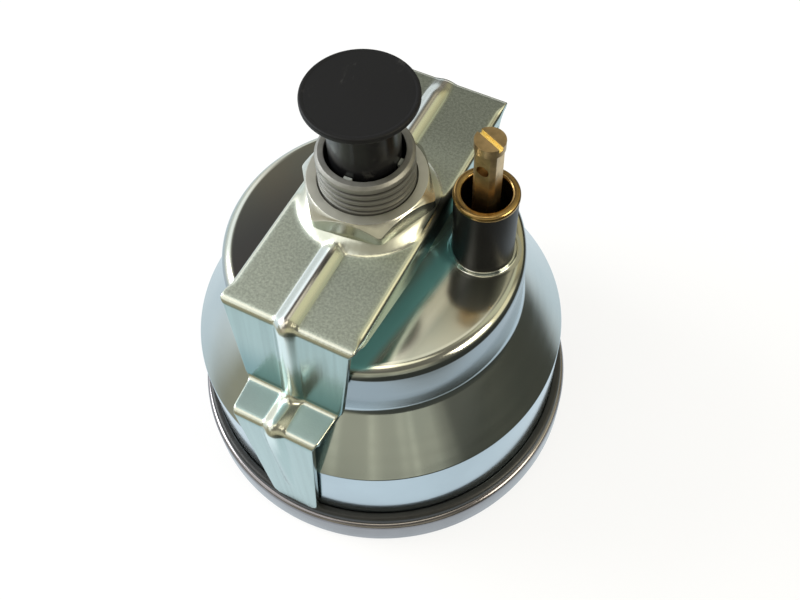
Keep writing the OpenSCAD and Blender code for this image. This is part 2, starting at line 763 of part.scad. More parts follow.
module front_plate() {
    color("#9a9b94") {
        difference() {
            union() {
                translate([0, 0, front_plate_z]) cylinder(r = front_plate_r, h = plate_t);
                for (s = [-1, 1])
                    translate([0, s * dial_screw_y, dial_back_z])
                        cylinder(r = dial_post_r, h = front_plate_z - dial_back_z + 0.5);
            }
            translate([0, 0, front_plate_z - 1]) cylinder(r = 1.5, h = plate_t + 2);
            translate([-riser_x, odometer_wheel_y, front_plate_z - 1])
                cylinder(r = arbor_hole_r, h = plate_t + 2);
            translate([trip_riser_x, trip_wheel_y, front_plate_z - 1])
                cylinder(r = arbor_hole_r, h = plate_t + 2);
            translate([reset_x, reset_y, front_plate_z - 1])
                cylinder(r = reset_lower_r + run_gap, h = plate_t + 2);
            for (s = [-1, 1]) {
                translate([0, s * dial_screw_y, dial_back_z - 1])
                    cylinder(r = dial_screw_r + seat_gap, h = 6);
                translate([0, s * bridge_y, front_plate_z - 1])
                    cylinder(r = bridge_screw_r + seat_gap, h = plate_t + 2);
            }
        }
        for (y = odometer_lug_y)
            counter_lug(-odometer_x, odometer_z, odometer_carry, y, counter_shaft_r + seat_gap);
        for (y = trip_lug_y)
            counter_lug(reset_x, trip_z, trip_carry, y, trip_shaft_r + run_gap);
    }
}

module frame_pillars() {
    color("#a08a4c") for (a = pillar_angles)
        rotate(a) translate([pillar_ring_r, 0, front_plate_top_z])
            cylinder(r = pillar_r, h = rear_plate_z - front_plate_top_z);
}

module drive_bush() {
    color("#94703a") translate([0, 0, rear_plate_top_z])
        ring(bush_r - seat_gap, drive_r + run_gap, bush_top_z - rear_plate_top_z);
}

module drive_shaft() {
    color("#8f9296") difference() {
        union() {
            translate([0, 0, shaft_end_z]) cylinder(r = drive_r, h = drive_top_z - shaft_end_z);
            translate([0, 0, cross_z])
                worm(drive_worm_r - seat_gap, lead_of(drive_gear), drive_worm_h, 180, worm_throw(drive_gear));
        }
        translate([-cable_square / 2, -cable_square / 2, drive_top_z - square_depth])
            cube([cable_square, cable_square, square_depth + 1]);
        translate([0, 0, shaft_end_z - 1]) cylinder(r = spindle_r + run_gap, h = spindle_hole_h + 1);
    }
}

module drive_circlip() {
    color("#75787a") translate([0, 0, bush_top_z + run_gap]) difference() {
        ring(circlip_r, drive_r + seat_gap, circlip_t);
        translate([0, -0.7, -1]) cube([circlip_r + 1, 1.4, circlip_t + 2]);
    }
}

module field_cup() {
    color("#7d8084") turned([
        [drive_r + seat_gap, shaft_end_z, 0], [hub_r, shaft_end_z, 0],
        [hub_r, field_top_z - field_t, 0], [field_r - field_t, field_top_z - field_t, 0.4],
        [field_r - field_t, field_skirt_z, 0], [field_r, field_skirt_z, 0],
        [field_r, field_top_z, 0.6], [drive_r + seat_gap, field_top_z, 0]]);
}

module magnet() {
    color("#3c3e42") translate([0, 0, magnet_z]) ring(magnet_r, hub_r + seat_gap, magnet_h);
}

module speed_cup() {
    color("#c9ccd0") turned([
        [spindle_r + seat_gap, cup_z - 1.6, 0], [1.6, cup_z - 1.6, 0], [1.6, cup_z, 0],
        [cup_r, cup_z, 0.4], [cup_r, cup_z + cup_skirt_h, 0],
        [cup_r - cup_wall, cup_z + cup_skirt_h, 0], [cup_r - cup_wall, cup_z + cup_t, 0],
        [spindle_r + seat_gap, cup_z + cup_t, 0]]);
}

module pointer_spindle() {
    color("#b9bcc0") translate([0, 0, spindle_front_z])
        cylinder(r = spindle_r, h = spindle_top_z - spindle_front_z, $fn = 32);
}

module hairspring_collet() {
    color("#a98b45") translate([0, 0, collet_z]) ring(collet_r, spindle_r + seat_gap, collet_h);
}

module pointer() {
    color("#d8d8d2") rotate(pointer_turn) translate([0, 0, pointer_z]) difference() {
        union() {
            cylinder(r = pointer_hub_r, h = pointer_t);
            linear_extrude(pointer_t) polygon([
                [-pointer_tail, -pointer_half_w], [-pointer_tail, pointer_half_w],
                [stop_r, pointer_half_w], [pointer_l, 0.25],
                [pointer_l, -0.25], [stop_r, -pointer_half_w]]);
        }
        translate([0, 0, -1]) cylinder(r = pointer_stem_r + seat_gap, h = pointer_t + 2);
    }
}

module pointer_cap() {
    color("#1b1b1b") difference() {
        turned([
            [0, cap_z, 0], [cap_r, cap_z, 0.9], [cap_r, pointer_z, 0],
            [pointer_stem_r, pointer_z, 0], [pointer_stem_r, cap_stem_z, 0], [0, cap_stem_z, 0]]);
        translate([0, 0, spindle_front_z]) cylinder(r = spindle_r + seat_gap, h = 5, $fn = 32);
    }
}

module spindle_bridge() {
    color("#a3a59e") difference() {
        union() {
            translate([-bridge_w, -bridge_y, bridge_z]) cube([2 * bridge_w, 2 * bridge_y, bridge_t]);
            for (s = [-1, 1])
                translate([0, s * bridge_y, bridge_z]) cylinder(r = bridge_w, h = front_plate_z - bridge_z);
        }
        translate([0, 0, bridge_z - 1]) cylinder(r = 1.5, h = bridge_t + 2);
        translate([0, hairspring_r, bridge_z - 1])
            cylinder(r = stud_r + seat_gap, h = bridge_t + 2, $fn = 32);
        for (s = [-1, 1])
            translate([0, s * bridge_y, bridge_z - 1])
                cylinder(r = bridge_screw_r + run_gap, h = front_plate_z - bridge_z + 2);
    }
}

module bridge_screws() {
    color("#55585c") for (s = [-1, 1])
        translate([0, s * bridge_y, bridge_z]) difference() {
            union() {
                translate([0, 0, -bridge_screw_head_h])
                    cylinder(r = bridge_screw_head_r, h = bridge_screw_head_h);
                cylinder(r = bridge_screw_r, h = front_plate_top_z - bridge_z - 0.4);
            }
            translate([-3, -0.2, -bridge_screw_head_h - 1]) cube([6, 0.4, 1.5]);
        }
}

module spindle_bush() {
    color("#a5343a") translate([0, 0, bridge_z - 0.5])
        ring(1.5 - seat_gap, spindle_r + run_gap, bridge_t + 1);
}

function spiral(t, side) =
    let (r = collet_r + seat_gap + hairspring_t / 2
             + (hairspring_r - stud_r - collet_r - hairspring_t) * t + side * hairspring_t / 2)
    let (a = 90 + 360 * hairspring_turns * (t - 1))
    r * [cos(a), sin(a)];

module hairspring() {
    n = 24 * hairspring_turns;
    color("#c2a55a") translate([0, 0, hairspring_z]) linear_extrude(hairspring_h)
        polygon(concat([for (i = [0:n]) spiral(i / n, 1)], [for (i = [n:-1:0]) spiral(i / n, -1)]));
}

module hairspring_stud() {
    color("#a98b45") translate([0, hairspring_r, stud_z])
        cylinder(r = stud_r, h = bridge_z + bridge_t - stud_z, $fn = 32);
}

// Arbor along Y with its drive wheel at y = 0 and a worm at worm_y
module cross_arbor(x, wheel_turn, worm_y, low_y, gear, groove) {
    along_y(x, low_y, cross_z) cylinder(r = arbor_r, h = cross_lug_y + lug_t - low_y + 0.5, $fn = 32);
    translate([x, wheel_w / 2, cross_z]) rotate([90, 0, 0]) rotate(wheel_turn)
        toothed_wheel(drive_gear, wheel_w, arbor_r / 2);
    translate([x, worm_y, cross_z]) rotate([-90, 0, 0])
        worm(small_worm_r - seat_gap, lead_of(gear), cross_worm_h, groove, worm_throw(gear));
}

module cross_shaft() {
    color("#e6e2d2") cross_arbor(-cross_x, 0, odometer_wheel_y, odometer_wheel_y - arbor_reach,
                                 riser_gear, 180);
}

module trip_cross_shaft() {
    color("#e6e2d2") cross_arbor(cross_x, 180 / drive_gear[0], trip_wheel_y, trip_wheel_y - arbor_reach,
                                 trip_riser_gear, 0);
}

// Upright arbor with a wheel at the cross shafts and a worm at its counter's shaft
module riser(x, y, gear, turn, worm_z, worm_gear, groove) {
    bottom_z = worm_z - riser_worm_h / 2;
    translate([x, y, bottom_z]) cylinder(r = arbor_r, h = rear_plate_top_z - bottom_z, $fn = 32);
    translate([x, y, cross_z - wheel_w / 2]) rotate(turn) toothed_wheel(gear, wheel_w, arbor_r / 2);
    translate([x, y, worm_z])
        worm(small_worm_r - seat_gap, lead_of(worm_gear), riser_worm_h, groove, worm_throw(worm_gear));
}

module odometer_riser() {
    color("#d9d2bb") riser(-riser_x, odometer_wheel_y, riser_gear, 0, odometer_z, odometer_gear, 180);
}

module trip_riser() {
    color("#d9d2bb") riser(trip_riser_x, trip_wheel_y, trip_riser_gear, 180, trip_z, trip_gear, 0);
}

module odometer_shaft() {
    low = odometer_lug_y[0] - 0.5;
    color("#9b9ea2") along_y(-odometer_x, low, odometer_z)
        cylinder(r = counter_shaft_r, h = odometer_lug_y[1] + lug_t + 0.5 - low, $fn = 48);
}

// Wheel at a counter's end, with a hub that reaches the first drum
module end_wheel(x, z, wheel_y, drum_y, gear, turn, bore) {
    hub_end = drum_y - drum_w / 2 - hub_over;
    translate([x, wheel_y + wheel_w / 2, z]) rotate([90, 0, 0]) rotate(turn)
        toothed_wheel(gear, wheel_w, bore);
    along_y(x, wheel_y, z) ring(drum_hub_r, bore, hub_end - wheel_y - run_gap);
}

module odometer_drive_wheel() {
    color("#e6e2d2") end_wheel(-odometer_x, odometer_z, odometer_wheel_y, odometer_y0, odometer_gear, 0,
                               counter_shaft_r + run_gap);
}

module trip_drive_wheel() {
    color("#e6e2d2") end_wheel(reset_x, trip_z, trip_wheel_y, trip_y0, trip_gear, 180,
                               trip_shaft_r + run_gap);
}

// Figure drum: rim, toothed ring towards -Y and locking disc towards +Y
module drum(x, y, z, r, band_r, bore) {
    m = 2 * band_r / band_teeth;
    along_y(x, y - drum_w / 2, z) difference() {
        cylinder(r = r, h = drum_w);
        translate([0, 0, -1]) cylinder(r = bore, h = drum_w + 2);
    }
    translate([x, y - drum_w / 2 + 0.01, z]) rotate([90, 0, 0]) rotate(x < 0 ? 180 - carry_turn : carry_turn)
        toothed_wheel([band_teeth, band_r], hub_over, bore, 0.22, 0.7, 0.9);
    along_y(x, y + drum_w / 2 - 0.01, z) ring(band_r - m - 0.1, bore, hub_over);
}

module odometer_drum(i) {
    color("#1c1c1c") drum(-odometer_x, odometer_y0 + i * drum_pitch, odometer_z, odometer_r,
                          odometer_band_r, counter_shaft_r + run_gap);
}

module odometer_drum_1() { odometer_drum(0); }
module odometer_drum_2() { odometer_drum(1); }
module odometer_drum_3() { odometer_drum(2); }
module odometer_drum_4() { odometer_drum(3); }
module odometer_drum_5() { odometer_drum(4); }

// Small wheel that passes a carry from drum i to drum i + 1
module carry_pinion(at, y, band_r, turn) {
    gear = [carry_teeth, band_r * carry_teeth / band_teeth];
    translate([at.x, y + carry_w / 2, at.y]) rotate([90, 0, 0]) rotate(turn)
        toothed_wheel(gear, carry_w, carry_shaft_r + run_gap, 0.22, 0.7, 0.9);
}

module odometer_carry_pinion(i) {
    color("#d9d2bb") carry_pinion(odometer_carry, odometer_y0 + (i + 0.5) * drum_pitch, odometer_band_r,
                                  -carry_turn + 180 / carry_teeth);
}

module odometer_carry_pinion_1() { odometer_carry_pinion(0); }
module odometer_carry_pinion_2() { odometer_carry_pinion(1); }
module odometer_carry_pinion_3() { odometer_carry_pinion(2); }
module odometer_carry_pinion_4() { odometer_carry_pinion(3); }

module odometer_carry_shaft() {
    low = odometer_lug_y[0];
    color("#9b9ea2") along_y(odometer_carry.x, low, odometer_carry.y)
        cylinder(r = carry_shaft_r, h = odometer_lug_y[1] + lug_t - low, $fn = 32);
}

module trip_shaft() {
    low = trip_lug_y[0] - 0.5;
    color("#9b9ea2") along_y(reset_x, low, trip_z)
        cylinder(r = trip_shaft_r, h = trip_lug_y[1] + lug_t + 0.5 - low, $fn = 48);
}

// Face-toothed wheel on the trip shaft; its teeth stand towards the reset pinion
module trip_crown_wheel() {
    root_y = crown_y - 0.6;
    color("#e6e2d2") {
        along_y(reset_x, crown_back_y, trip_z)
            ring(crown_r + 0.9, trip_shaft_r + seat_gap, root_y - crown_back_y);
        for (i = [0:crown_teeth - 1])
            translate([reset_x, root_y - 0.1, trip_z]) rotate([0, (i + 0.5) * 360 / crown_teeth, 0])
                translate([-0.18, 0, crown_r - 0.8]) cube([0.36, crown_tooth_h + 0.6, 1.6]);
    }
}

module trip_drum(i) {
    color("#1c1c1c") drum(reset_x, trip_y0 + i * drum_pitch, trip_z, trip_r, trip_band_r,
                          trip_shaft_r + seat_gap);
}

module trip_drum_1() { trip_drum(0); }
module trip_drum_2() { trip_drum(1); }
module trip_drum_3() { trip_drum(2); }

module trip_carry_shaft() {
    low = trip_lug_y[0];
    color("#9b9ea2") along_y(trip_carry.x, low, trip_carry.y)
        cylinder(r = carry_shaft_r, h = trip_lug_y[1] + lug_t - low, $fn = 32);
}

module trip_carry_pinions() {
    color("#d9d2bb") for (i = [0:trip_drums - 2])
        carry_pinion(trip_carry, trip_y0 + (i + 0.5) * drum_pitch, trip_band_r,
                     180 + carry_turn + 180 / carry_teeth);
}

module reset_shaft() {
    collar_z = rear_plate_top_z + run_gap;
    bottom_z = pinion_z - pinion_w / 2;
    head_z = reset_z - reset_head_h;
    color("#9a7a35") translate([reset_x, reset_y, 0]) difference() {
        union() {
            translate([0, 0, bottom_z]) cylinder(r = reset_lower_r, h = rear_plate_z - bottom_z);
            translate([0, 0, rear_plate_z - 0.5])
                cylinder(r = reset_journal_r, h = collar_z - rear_plate_z + 1);
            translate([0, 0, collar_z]) cylinder(r = reset_collar_r, h = reset_collar_h);
            intersection() {
                translate([0, 0, collar_z]) cylinder(r = reset_flats_r, h = head_z - collar_z + 0.1);
                rotate(reset_flats_turn) translate([-reset_flats / 2, -reset_flats / 2, collar_z])
                    cube([reset_flats, reset_flats, head_z - collar_z + 0.1]);
            }
            translate([0, 0, head_z]) cylinder(r = reset_head_r, h = reset_head_h);
        }
        rotate(slot_turn) translate([-5, -slot_w / 2, reset_z - slot_h]) cube([10, slot_w, slot_h + 1]);
        rotate(reset_flats_turn) along_y(0, -5, cross_hole_z) cylinder(r = cross_hole_r, h = 10, $fn = 48);
    }
}

module reset_pinion() {
    color("#b08f45") translate([reset_x, reset_y, pinion_z - pinion_w / 2]) rotate(-90)
        toothed_wheel([pinion_teeth, pinion_r], pinion_w, reset_lower_r + seat_gap, 0.2, 0.9, 1);
}

bezel();
case_shell();
lens();
lens_gasket();
visor_ring();
dash_seal();
dial();
dial_screws();
zero_stop_pin();
drive_boss();
case_screws();
reset_tube();
reset_ferrule();
mounting_bracket();
mounting_nut();
dust_plug();
rear_plate();
front_plate();
frame_pillars();
drive_bush();
drive_shaft();
drive_circlip();
field_cup();
magnet();
speed_cup();
pointer_spindle();
hairspring_collet();
pointer();
pointer_cap();
spindle_bridge();
bridge_screws();
spindle_bush();
hairspring();
hairspring_stud();
cross_shaft();
odometer_riser();
odometer_shaft();
odometer_drive_wheel();
odometer_drum_1();
odometer_drum_2();
odometer_drum_3();
odometer_drum_4();
odometer_drum_5();
odometer_carry_shaft();
odometer_carry_pinion_1();
odometer_carry_pinion_2();
odometer_carry_pinion_3();
odometer_carry_pinion_4();
trip_cross_shaft();
trip_riser();
trip_drive_wheel();
trip_shaft();
trip_crown_wheel();
trip_drum_1();
trip_drum_2();
trip_drum_3();
trip_carry_shaft();
trip_carry_pinions();
reset_shaft();
reset_pinion();
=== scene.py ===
import math

import bmesh
import bpy
from bpy.props import FloatProperty, FloatVectorProperty, IntProperty, PointerProperty
from mathutils import Matrix, Vector


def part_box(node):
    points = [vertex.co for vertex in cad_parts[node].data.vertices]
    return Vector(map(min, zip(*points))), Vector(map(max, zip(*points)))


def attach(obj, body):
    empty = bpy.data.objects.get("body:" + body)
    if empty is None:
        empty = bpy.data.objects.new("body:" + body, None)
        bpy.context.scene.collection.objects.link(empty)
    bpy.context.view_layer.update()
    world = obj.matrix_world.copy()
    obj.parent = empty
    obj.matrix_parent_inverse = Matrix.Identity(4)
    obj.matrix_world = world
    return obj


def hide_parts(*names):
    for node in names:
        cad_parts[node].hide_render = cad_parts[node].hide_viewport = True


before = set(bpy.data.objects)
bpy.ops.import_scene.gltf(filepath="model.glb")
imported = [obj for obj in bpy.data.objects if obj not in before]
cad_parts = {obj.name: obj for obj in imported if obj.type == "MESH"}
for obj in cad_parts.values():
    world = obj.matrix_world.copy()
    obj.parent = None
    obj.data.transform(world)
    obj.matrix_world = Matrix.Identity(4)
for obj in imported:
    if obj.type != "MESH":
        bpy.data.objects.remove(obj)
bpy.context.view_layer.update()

bl_info = {
    "name": "Rear Clamp Speedometer",
    "version": (1, 0, 0),
    "blender": (4, 5, 0),
    "location": "3D View > Sidebar > Speedometer",
    "description": "Dresses the speedometer's case, clamp bracket, cable boss, reset and dial",
    "category": "Object",
}

MM = 0.001
SMOOTH_ANGLE = math.radians(32)
ARC_STEPS = 8


def length(label, text, mm, low=0.0, high=200.0):
    """A size in metres, written here in millimetres."""
    return FloatProperty(name=label, description=text, default=mm * MM, min=low * MM,
                         max=high * MM, precision=5, subtype="DISTANCE", unit="LENGTH")


def colour(label, text, rgb):
    """A finish's colour, as red, green and blue from 0 to 1."""
    return FloatVectorProperty(name=label, description=text, default=rgb, min=0.0, max=1.0, size=3,
                               subtype="COLOR")


class CaseSizes(bpy.types.PropertyGroup):
    radius: length("Body Radius", "Radius of the part that fills the dash hole", 39.8)
    rear_radius: length("Rear Radius", "Radius of the narrow part behind the cone", 30.4)
    sheet: length("Sheet", "Thickness of the case sheet", 0.8)
    edge: length("Cone Edge", "Height of the sharp edge where the cone starts", 28.8)
    cone_top: length("Cone Top", "Height where the cone meets the rear part", 41.6)
    top: length("Rear Face", "Height of the rear face", 56.5)
    shoulder: length("Shoulder", "Radius of the rounded rear shoulder", 2.7)
    blend: length("Blend", "Radius of the hollow blend above the cone", 3.4)
    collar: length("Collar", "Height of the collar drawn up round the reset tube", 0.8)
    steel: colour("Plating", "Colour of the bright zinc on upright walls", (0.50, 0.575, 0.62))
    # Faces that look to the rear are painted olive: partly the passivation's own colour and partly
    # a painted reflection of the warm room that they mirror.
    tint: colour("Passivation", "Colour of the zinc on faces that look to the rear",
                 (0.56, 0.55, 0.46))
    # Painted reflection: this colour stands for the bracket's bluish underside mirrored by the
    # rear face next to it.
    teal: colour("Teal", "Colour of the zinc on the rear face beside the bracket",
                 (0.20, 0.50, 0.53))


class FrontSizes(bpy.types.PropertyGroup):
    radius: length("Bezel Radius", "Outer radius of the bezel", 42.6)
    depth: length("Bezel Depth", "Depth of the bezel", 8.0)
    sheet: length("Bezel Sheet", "Thickness of the bezel sheet", 0.8)
    opening: length("Opening", "Radius of the opening in the bezel", 36.6)
    seal_radius: length("Seal Radius", "Outer radius of the dash seal", 41.7)
    seal_height: length("Seal Height", "Height of the dash seal", 2.3)
    bezel: colour("Bezel", "Colour of the bezel's metal", (0.30, 0.28, 0.285))
    rubber: colour("Rubber", "Colour of the seal's rubber", (0.018, 0.018, 0.017))


class BracketSizes(bpy.types.PropertyGroup):
    top: length("Strip Height", "Height of the strip's outer face", 70.0)
    half_width: length("Half Width", "Half the width of the strip", 13.4)
    sheet: length("Sheet", "Thickness of the bracket sheet", 1.2)
    bend: length("Bend", "Distance of the bends from the middle", 31.1)
    far_reach: length("Far Bend", "How much further out the bend on the far side lies", 2.1)
    knee: length("Knee", "Distance of the leg's lower end from the middle", 33.4)
    foot: length("Foot", "Distance of the foot's outer face from the middle", 41.4)
    shelf: length("Shelf", "Height of the shelf", 47.3)
    foot_end: length("Foot End", "Height of the foot's end", 10.3)
    dome: length("Dome", "Height of the dome under the nut", 2.1)
    rib_width: length("Rib Width", "Width of the pressed rib", 4.8)
    rib_height: length("Rib Height", "Height of the pressed rib", 1.185)
    zinc: colour("Zinc", "Colour of the matt zinc on the strip", (0.50, 0.54, 0.46))
    slope: colour("Slopes", "Colour of the smooth zinc on the dome and the bends",
                  (0.64, 0.65, 0.55))
    leg: colour("Leg", "Colour of the bluish zinc on the legs", (0.43, 0.54, 0.52))


class BossSizes(bpy.types.PropertyGroup):
    radius: length("Thread Radius", "Crest radius of the cable thread", 9.0)
    pitch: length("Pitch", "Pitch of the cable thread", 1.5)
    top: length("Boss End", "Height of the boss's rear end", 83.6)
    socket: length("Socket", "Radius of the cable socket", 7.27)
    key: length("Key Height", "How far each key stands into the socket", 0.67)
    nut_corner: length("Nut Corner", "Radius of the nut's corners", 13.1)
    nut_top: length("Nut Top", "Radius of the nut's top face", 11.1)
    nut_turn: FloatProperty(name="Nut Turn", description="How far the nut's corners are turned",
                            default=math.radians(7.7), subtype="ANGLE", unit="ROTATION")
    casting: colour("Casting", "Colour of the die-cast boss", (0.30, 0.295, 0.27))
    nut: colour("Nut", "Colour of the nut's zinc", (0.68, 0.67, 0.59))


class PlugSizes(bpy.types.PropertyGroup):
    radius: length("Disc Radius", "Radius of the plug's disc", 10.1)
    thickness: length("Disc Thickness", "Thickness of the plug's disc", 1.2)
    top: length("Disc Height", "Height of the plug's outer face", 97.5)
    stem: length("Stem Radius", "Radius of the plug's stem", 6.5)
    plastic: colour("Plastic", "Colour of the plug's plastic", (0.007, 0.007, 0.008))


class ResetSizes(bpy.types.PropertyGroup):
    x: length("Across", "Distance of the reset shaft from the middle, across the bracket", 20.3)
    y: length("Along", "Distance of the reset shaft from the middle, along the bracket", 7.5)
    radius: length("Tube Radius", "Outer radius of the reset tube", 6.06)
    wall: length("Tube Wall", "Wall of the reset tube", 1.1)
    rim: length("Rim Height", "Height of the ferrule's rim", 74.4)
    ferrule: length("Ferrule Height", "Height of the rim above the tube", 1.4)
    end: length("Shaft End", "Height of the reset shaft's slotted end", 88.5)
    brass: colour("Brass", "Colour of the ferrule's brass", (0.42, 0.27, 0.10))
    shaft: colour("Shaft Brass", "Colour of the reset shaft's tarnished brass", (0.68, 0.48, 0.24))
    enamel: colour("Enamel", "Colour of the tube's black enamel", (0.008, 0.008, 0.009))


class DialLook(bpy.types.PropertyGroup):
    top_speed: IntProperty(name="Top Speed", description="Highest number on the dial", default=120,
                           min=60, max=200)
    step: IntProperty(name="Step", description="Difference from one number to the next",
                      default=10, min=5, max=40)
    figure: length("Figure Height", "Height of the dial's numbers", 3.9)
    ring: length("Number Ring", "Distance of the numbers from the middle", 30.4)
    mark_end: length("Mark End", "Distance of the marks' outer ends from the middle", 35.6)
    face: colour("Face", "Colour of the dial's face", (0.012, 0.012, 0.013))
    print: colour("Print", "Colour of the dial's markings", (0.80, 0.79, 0.74))


class StageLook(bpy.types.PropertyGroup):
    floor: colour("Floor", "Colour of the floor", (1.0, 1.0, 1.0))
    lens: FloatProperty(name="Focal Length", description="Focal length of the camera",
                        default=44.31, min=20, max=120, subtype="DISTANCE_CAMERA", unit="CAMERA")


PROPERTY = "speedometer_{}"


def of(group):
    """The scene's values for one property group."""
    return getattr(bpy.context.scene, PROPERTY.format(group))


def add_node(tree, kind, inputs, named, settings):
    """Adds any node, sets it and feeds its sockets, counted or named, with values or links."""
    n = tree.nodes.new(kind)
    for key, value in (settings or {}).items():
        setattr(n, key, value)
    for key, value in [*enumerate(inputs), *named.items()]:
        if value is None:
            continue
        if isinstance(value, Wire):
            value = value.socket
        target = n.inputs[key.replace("_", " ") if isinstance(key, str) else key]
        if isinstance(value, bpy.types.NodeSocket):
            tree.links.new(value, target)
        elif target.type == "RGBA" and len(value) == 3:
            target.default_value = (*value, 1)
        else:
            target.default_value = value
    return n


# Shader maths


class Wire:
    """A socket of a material; arithmetic on it adds Math nodes."""

    def __init__(self, tree, socket=None):
        self.tree, self.socket = tree, socket

    def node(self, kind, *inputs, out=0, settings=None, **named):
        """Adds a node and gives back one output of it."""
        n = add_node(self.tree, kind, inputs, named, settings)
        return Wire(self.tree, n.outputs[out] if n.outputs else None)

    def math(self, operation, a, b=None, clamp=False):
        return self.node("ShaderNodeMath", a, b,
                         settings={"operation": operation, "use_clamp": clamp})

    def __add__(self, other):
        return self.math("ADD", self, other)

    def __radd__(self, other):
        return self.math("ADD", other, self)

    def __sub__(self, other):
        return self.math("SUBTRACT", self, other)

    def __rsub__(self, other):
        return self.math("SUBTRACT", other, self)

    def __mul__(self, other):
        return self.math("MULTIPLY", self, other)

    def __rmul__(self, other):
        return self.math("MULTIPLY", other, self)

    def __truediv__(self, other):
        return self.math("DIVIDE", self, other)

    def step(self, low, high):
        """0 below low, 1 above high and smooth between; low may be the larger."""
        return self.node("ShaderNodeMapRange", self, low, high, 0.0, 1.0,
                         settings={"interpolation_type": "SMOOTHSTEP"})

    def mix(self, a, b):
        """Colour a where this is 0 and colour b where it is 1."""
        n = self.tree.nodes.new("ShaderNodeMix")
        n.data_type = "RGBA"
        self.tree.links.new(self.socket, n.inputs[0])
        for value, target in ((a, n.inputs[6]), (b, n.inputs[7])):
            if isinstance(value, Wire):
                self.tree.links.new(value.socket, target)
            else:
                target.default_value = (*value, 1)
        return Wire(self.tree, n.outputs[2])

    def coords(self):
        """The Object coordinates of the point."""
        return self.node("ShaderNodeTexCoord", out=3)

    def axis(self, vector, index):
        return self.node("ShaderNodeSeparateXYZ", vector, out=index)

    def place(self):
        """The point's three Object coordinates, one by one."""
        p = self.coords()
        return [self.axis(p, i) for i in range(3)]

    def upright(self):
        """How far the surface looks to the rear: 1 on a level face and 0 on a wall."""
        return self.axis(self.node("ShaderNodeTexCoord", out=1), 2)

    def absolute(self, value):
        return self.math("ABSOLUTE", value)

    def apart(self, x, y):
        """Distance from an upright axis that is x and y away."""
        return self.math("SQRT", x * x + y * y)

    def scaled(self, vector, scale, location=(0, 0, 0)):
        return self.node("ShaderNodeMapping", vector, location, None, scale)

    def noise(self, vector, scale, detail=2.0, roughness=0.5):
        return self.node("ShaderNodeTexNoise", vector, None, scale, detail, roughness)

    def drawn(self, scale, detail=2.0):
        """Noise that is stretched into lines or rings, by a scale for each axis."""
        return self.noise(self.scaled(self.coords(), scale), 1.0, detail)


def material(name, base, metallic=0.0, roughness=0.5, bump=None, bump_height=0.0, **plain):
    """A principled material. Wires vary over the surface; plain values stay on their sockets."""
    m = bpy.data.materials.new(name)
    m.use_nodes = True
    tree = m.node_tree
    shader = next(n for n in tree.nodes if n.type == "BSDF_PRINCIPLED")
    w = Wire(tree)
    values = {"Base Color": base, "Metallic": metallic, "Roughness": roughness,
              **{k.replace("_", " "): v for k, v in plain.items()}}
    for key, value in values.items():
        if callable(value):
            value = value(w)
        if isinstance(value, Wire):
            tree.links.new(value.socket, shader.inputs[key])
        elif key == "Base Color":
            shader.inputs[key].default_value = (*value, 1)
            m.diffuse_color = (*value, 1)
        else:
            shader.inputs[key].default_value = value
    if bump:
        height = bump(w)
        n = w.node("ShaderNodeBump", Strength=1.0, Distance=bump_height * MM, Height=height)
        tree.links.new(n.socket, shader.inputs["Normal"])
    return m


MATERIALS = {}


def look(name):
    """The material of that name, built once from the values in the sidebar."""
    if name not in MATERIALS:
        MATERIALS[name] = LOOKS[name](name)
    return MATERIALS[name]


def shade(rgb, share=1.0):
    """A colour made darker or brighter by one share."""
    return tuple(c * share for c in rgb)


def clouded(w, scale, light, dark, low=0.3, high=0.7, detail=3.0):
    """Soft patches from one colour to another."""
    return w.noise(w.coords(), scale, detail).step(low, high).mix(light, dark)


def case_zinc(name):
    """Bright clouded plating, bluish on upright walls; the rear face painted olive, partly its
    passivation and partly a painted reflection of the warm room, with a painted reflection of the
    bracket, a painted highlight streak and painted shade on the upper walls.
    """
    size = of("case")
    # The first colour is a real patchy aged tone of the zinc; the second is a painted highlight.
    aged, streak_highlight = (0.50, 0.53, 0.47), (1.0, 0.98, 0.86)

    def across(w):
        """Distance from the bracket along a slightly slanted line, and 1 on the rear face."""
        x, y, z = w.place()
        return x - 0.16 * (y + 14 * MM), z.step(size.top - 0.7 * MM, size.top - 0.2 * MM)

    def beside(w):
        """1 on the band of the rear face next to the bracket, where the bracket's bluish underside
        is painted as a reflection.
        """
        x, face = across(w)
        return x.step(16.4 * MM, 13.4 * MM) * x.step(6 * MM, 12 * MM) * face

    def base(w):
        clouds = w.noise(w.coords(), 55.0, 3.0).step(0.35, 0.7)
        cool = clouds.mix(shade(size.steel), shade(size.steel, 0.92))
        # Painted shade: the walls are painted darker from 40 to 47 mm up and above, all round,
        # standing for the bracket's shade on the upper band.
        painted_band_shade = w.place()[2].step(40 * MM, 47 * MM)
        cool = painted_band_shade.mix(cool, shade(size.steel, 0.62))
        warm = clouds.mix(shade(size.tint), aged)
        x, face = across(w)
        # Painted highlight: a bright streak painted across the rear face, beyond the bracket's
        # painted reflection.
        painted_streak = x.step(14.2 * MM, 16.4 * MM) * x.step(19.8 * MM, 17.2 * MM) * face
        # Painted reflection: faces that look to the rear are painted olive like the warm room they
        # mirror, partly the passivation's own colour; the walls keep the bluish plating.
        plating = w.upright().step(0.35, 0.95).mix(cool, warm)
        return (painted_streak * 0.8).mix(beside(w).mix(plating, shade(size.teal)), streak_highlight)

    def rough(w):
        return 0.10 + 0.07 * w.drawn((12, 12, 900))

    # The painted reflection band is also made less metallic, so that its painted colour shows.
    return material(name, base, lambda w: 1 - 0.55 * beside(w), rough,
                    bump=lambda w: w.drawn((30, 30, 260)), bump_height=0.012)


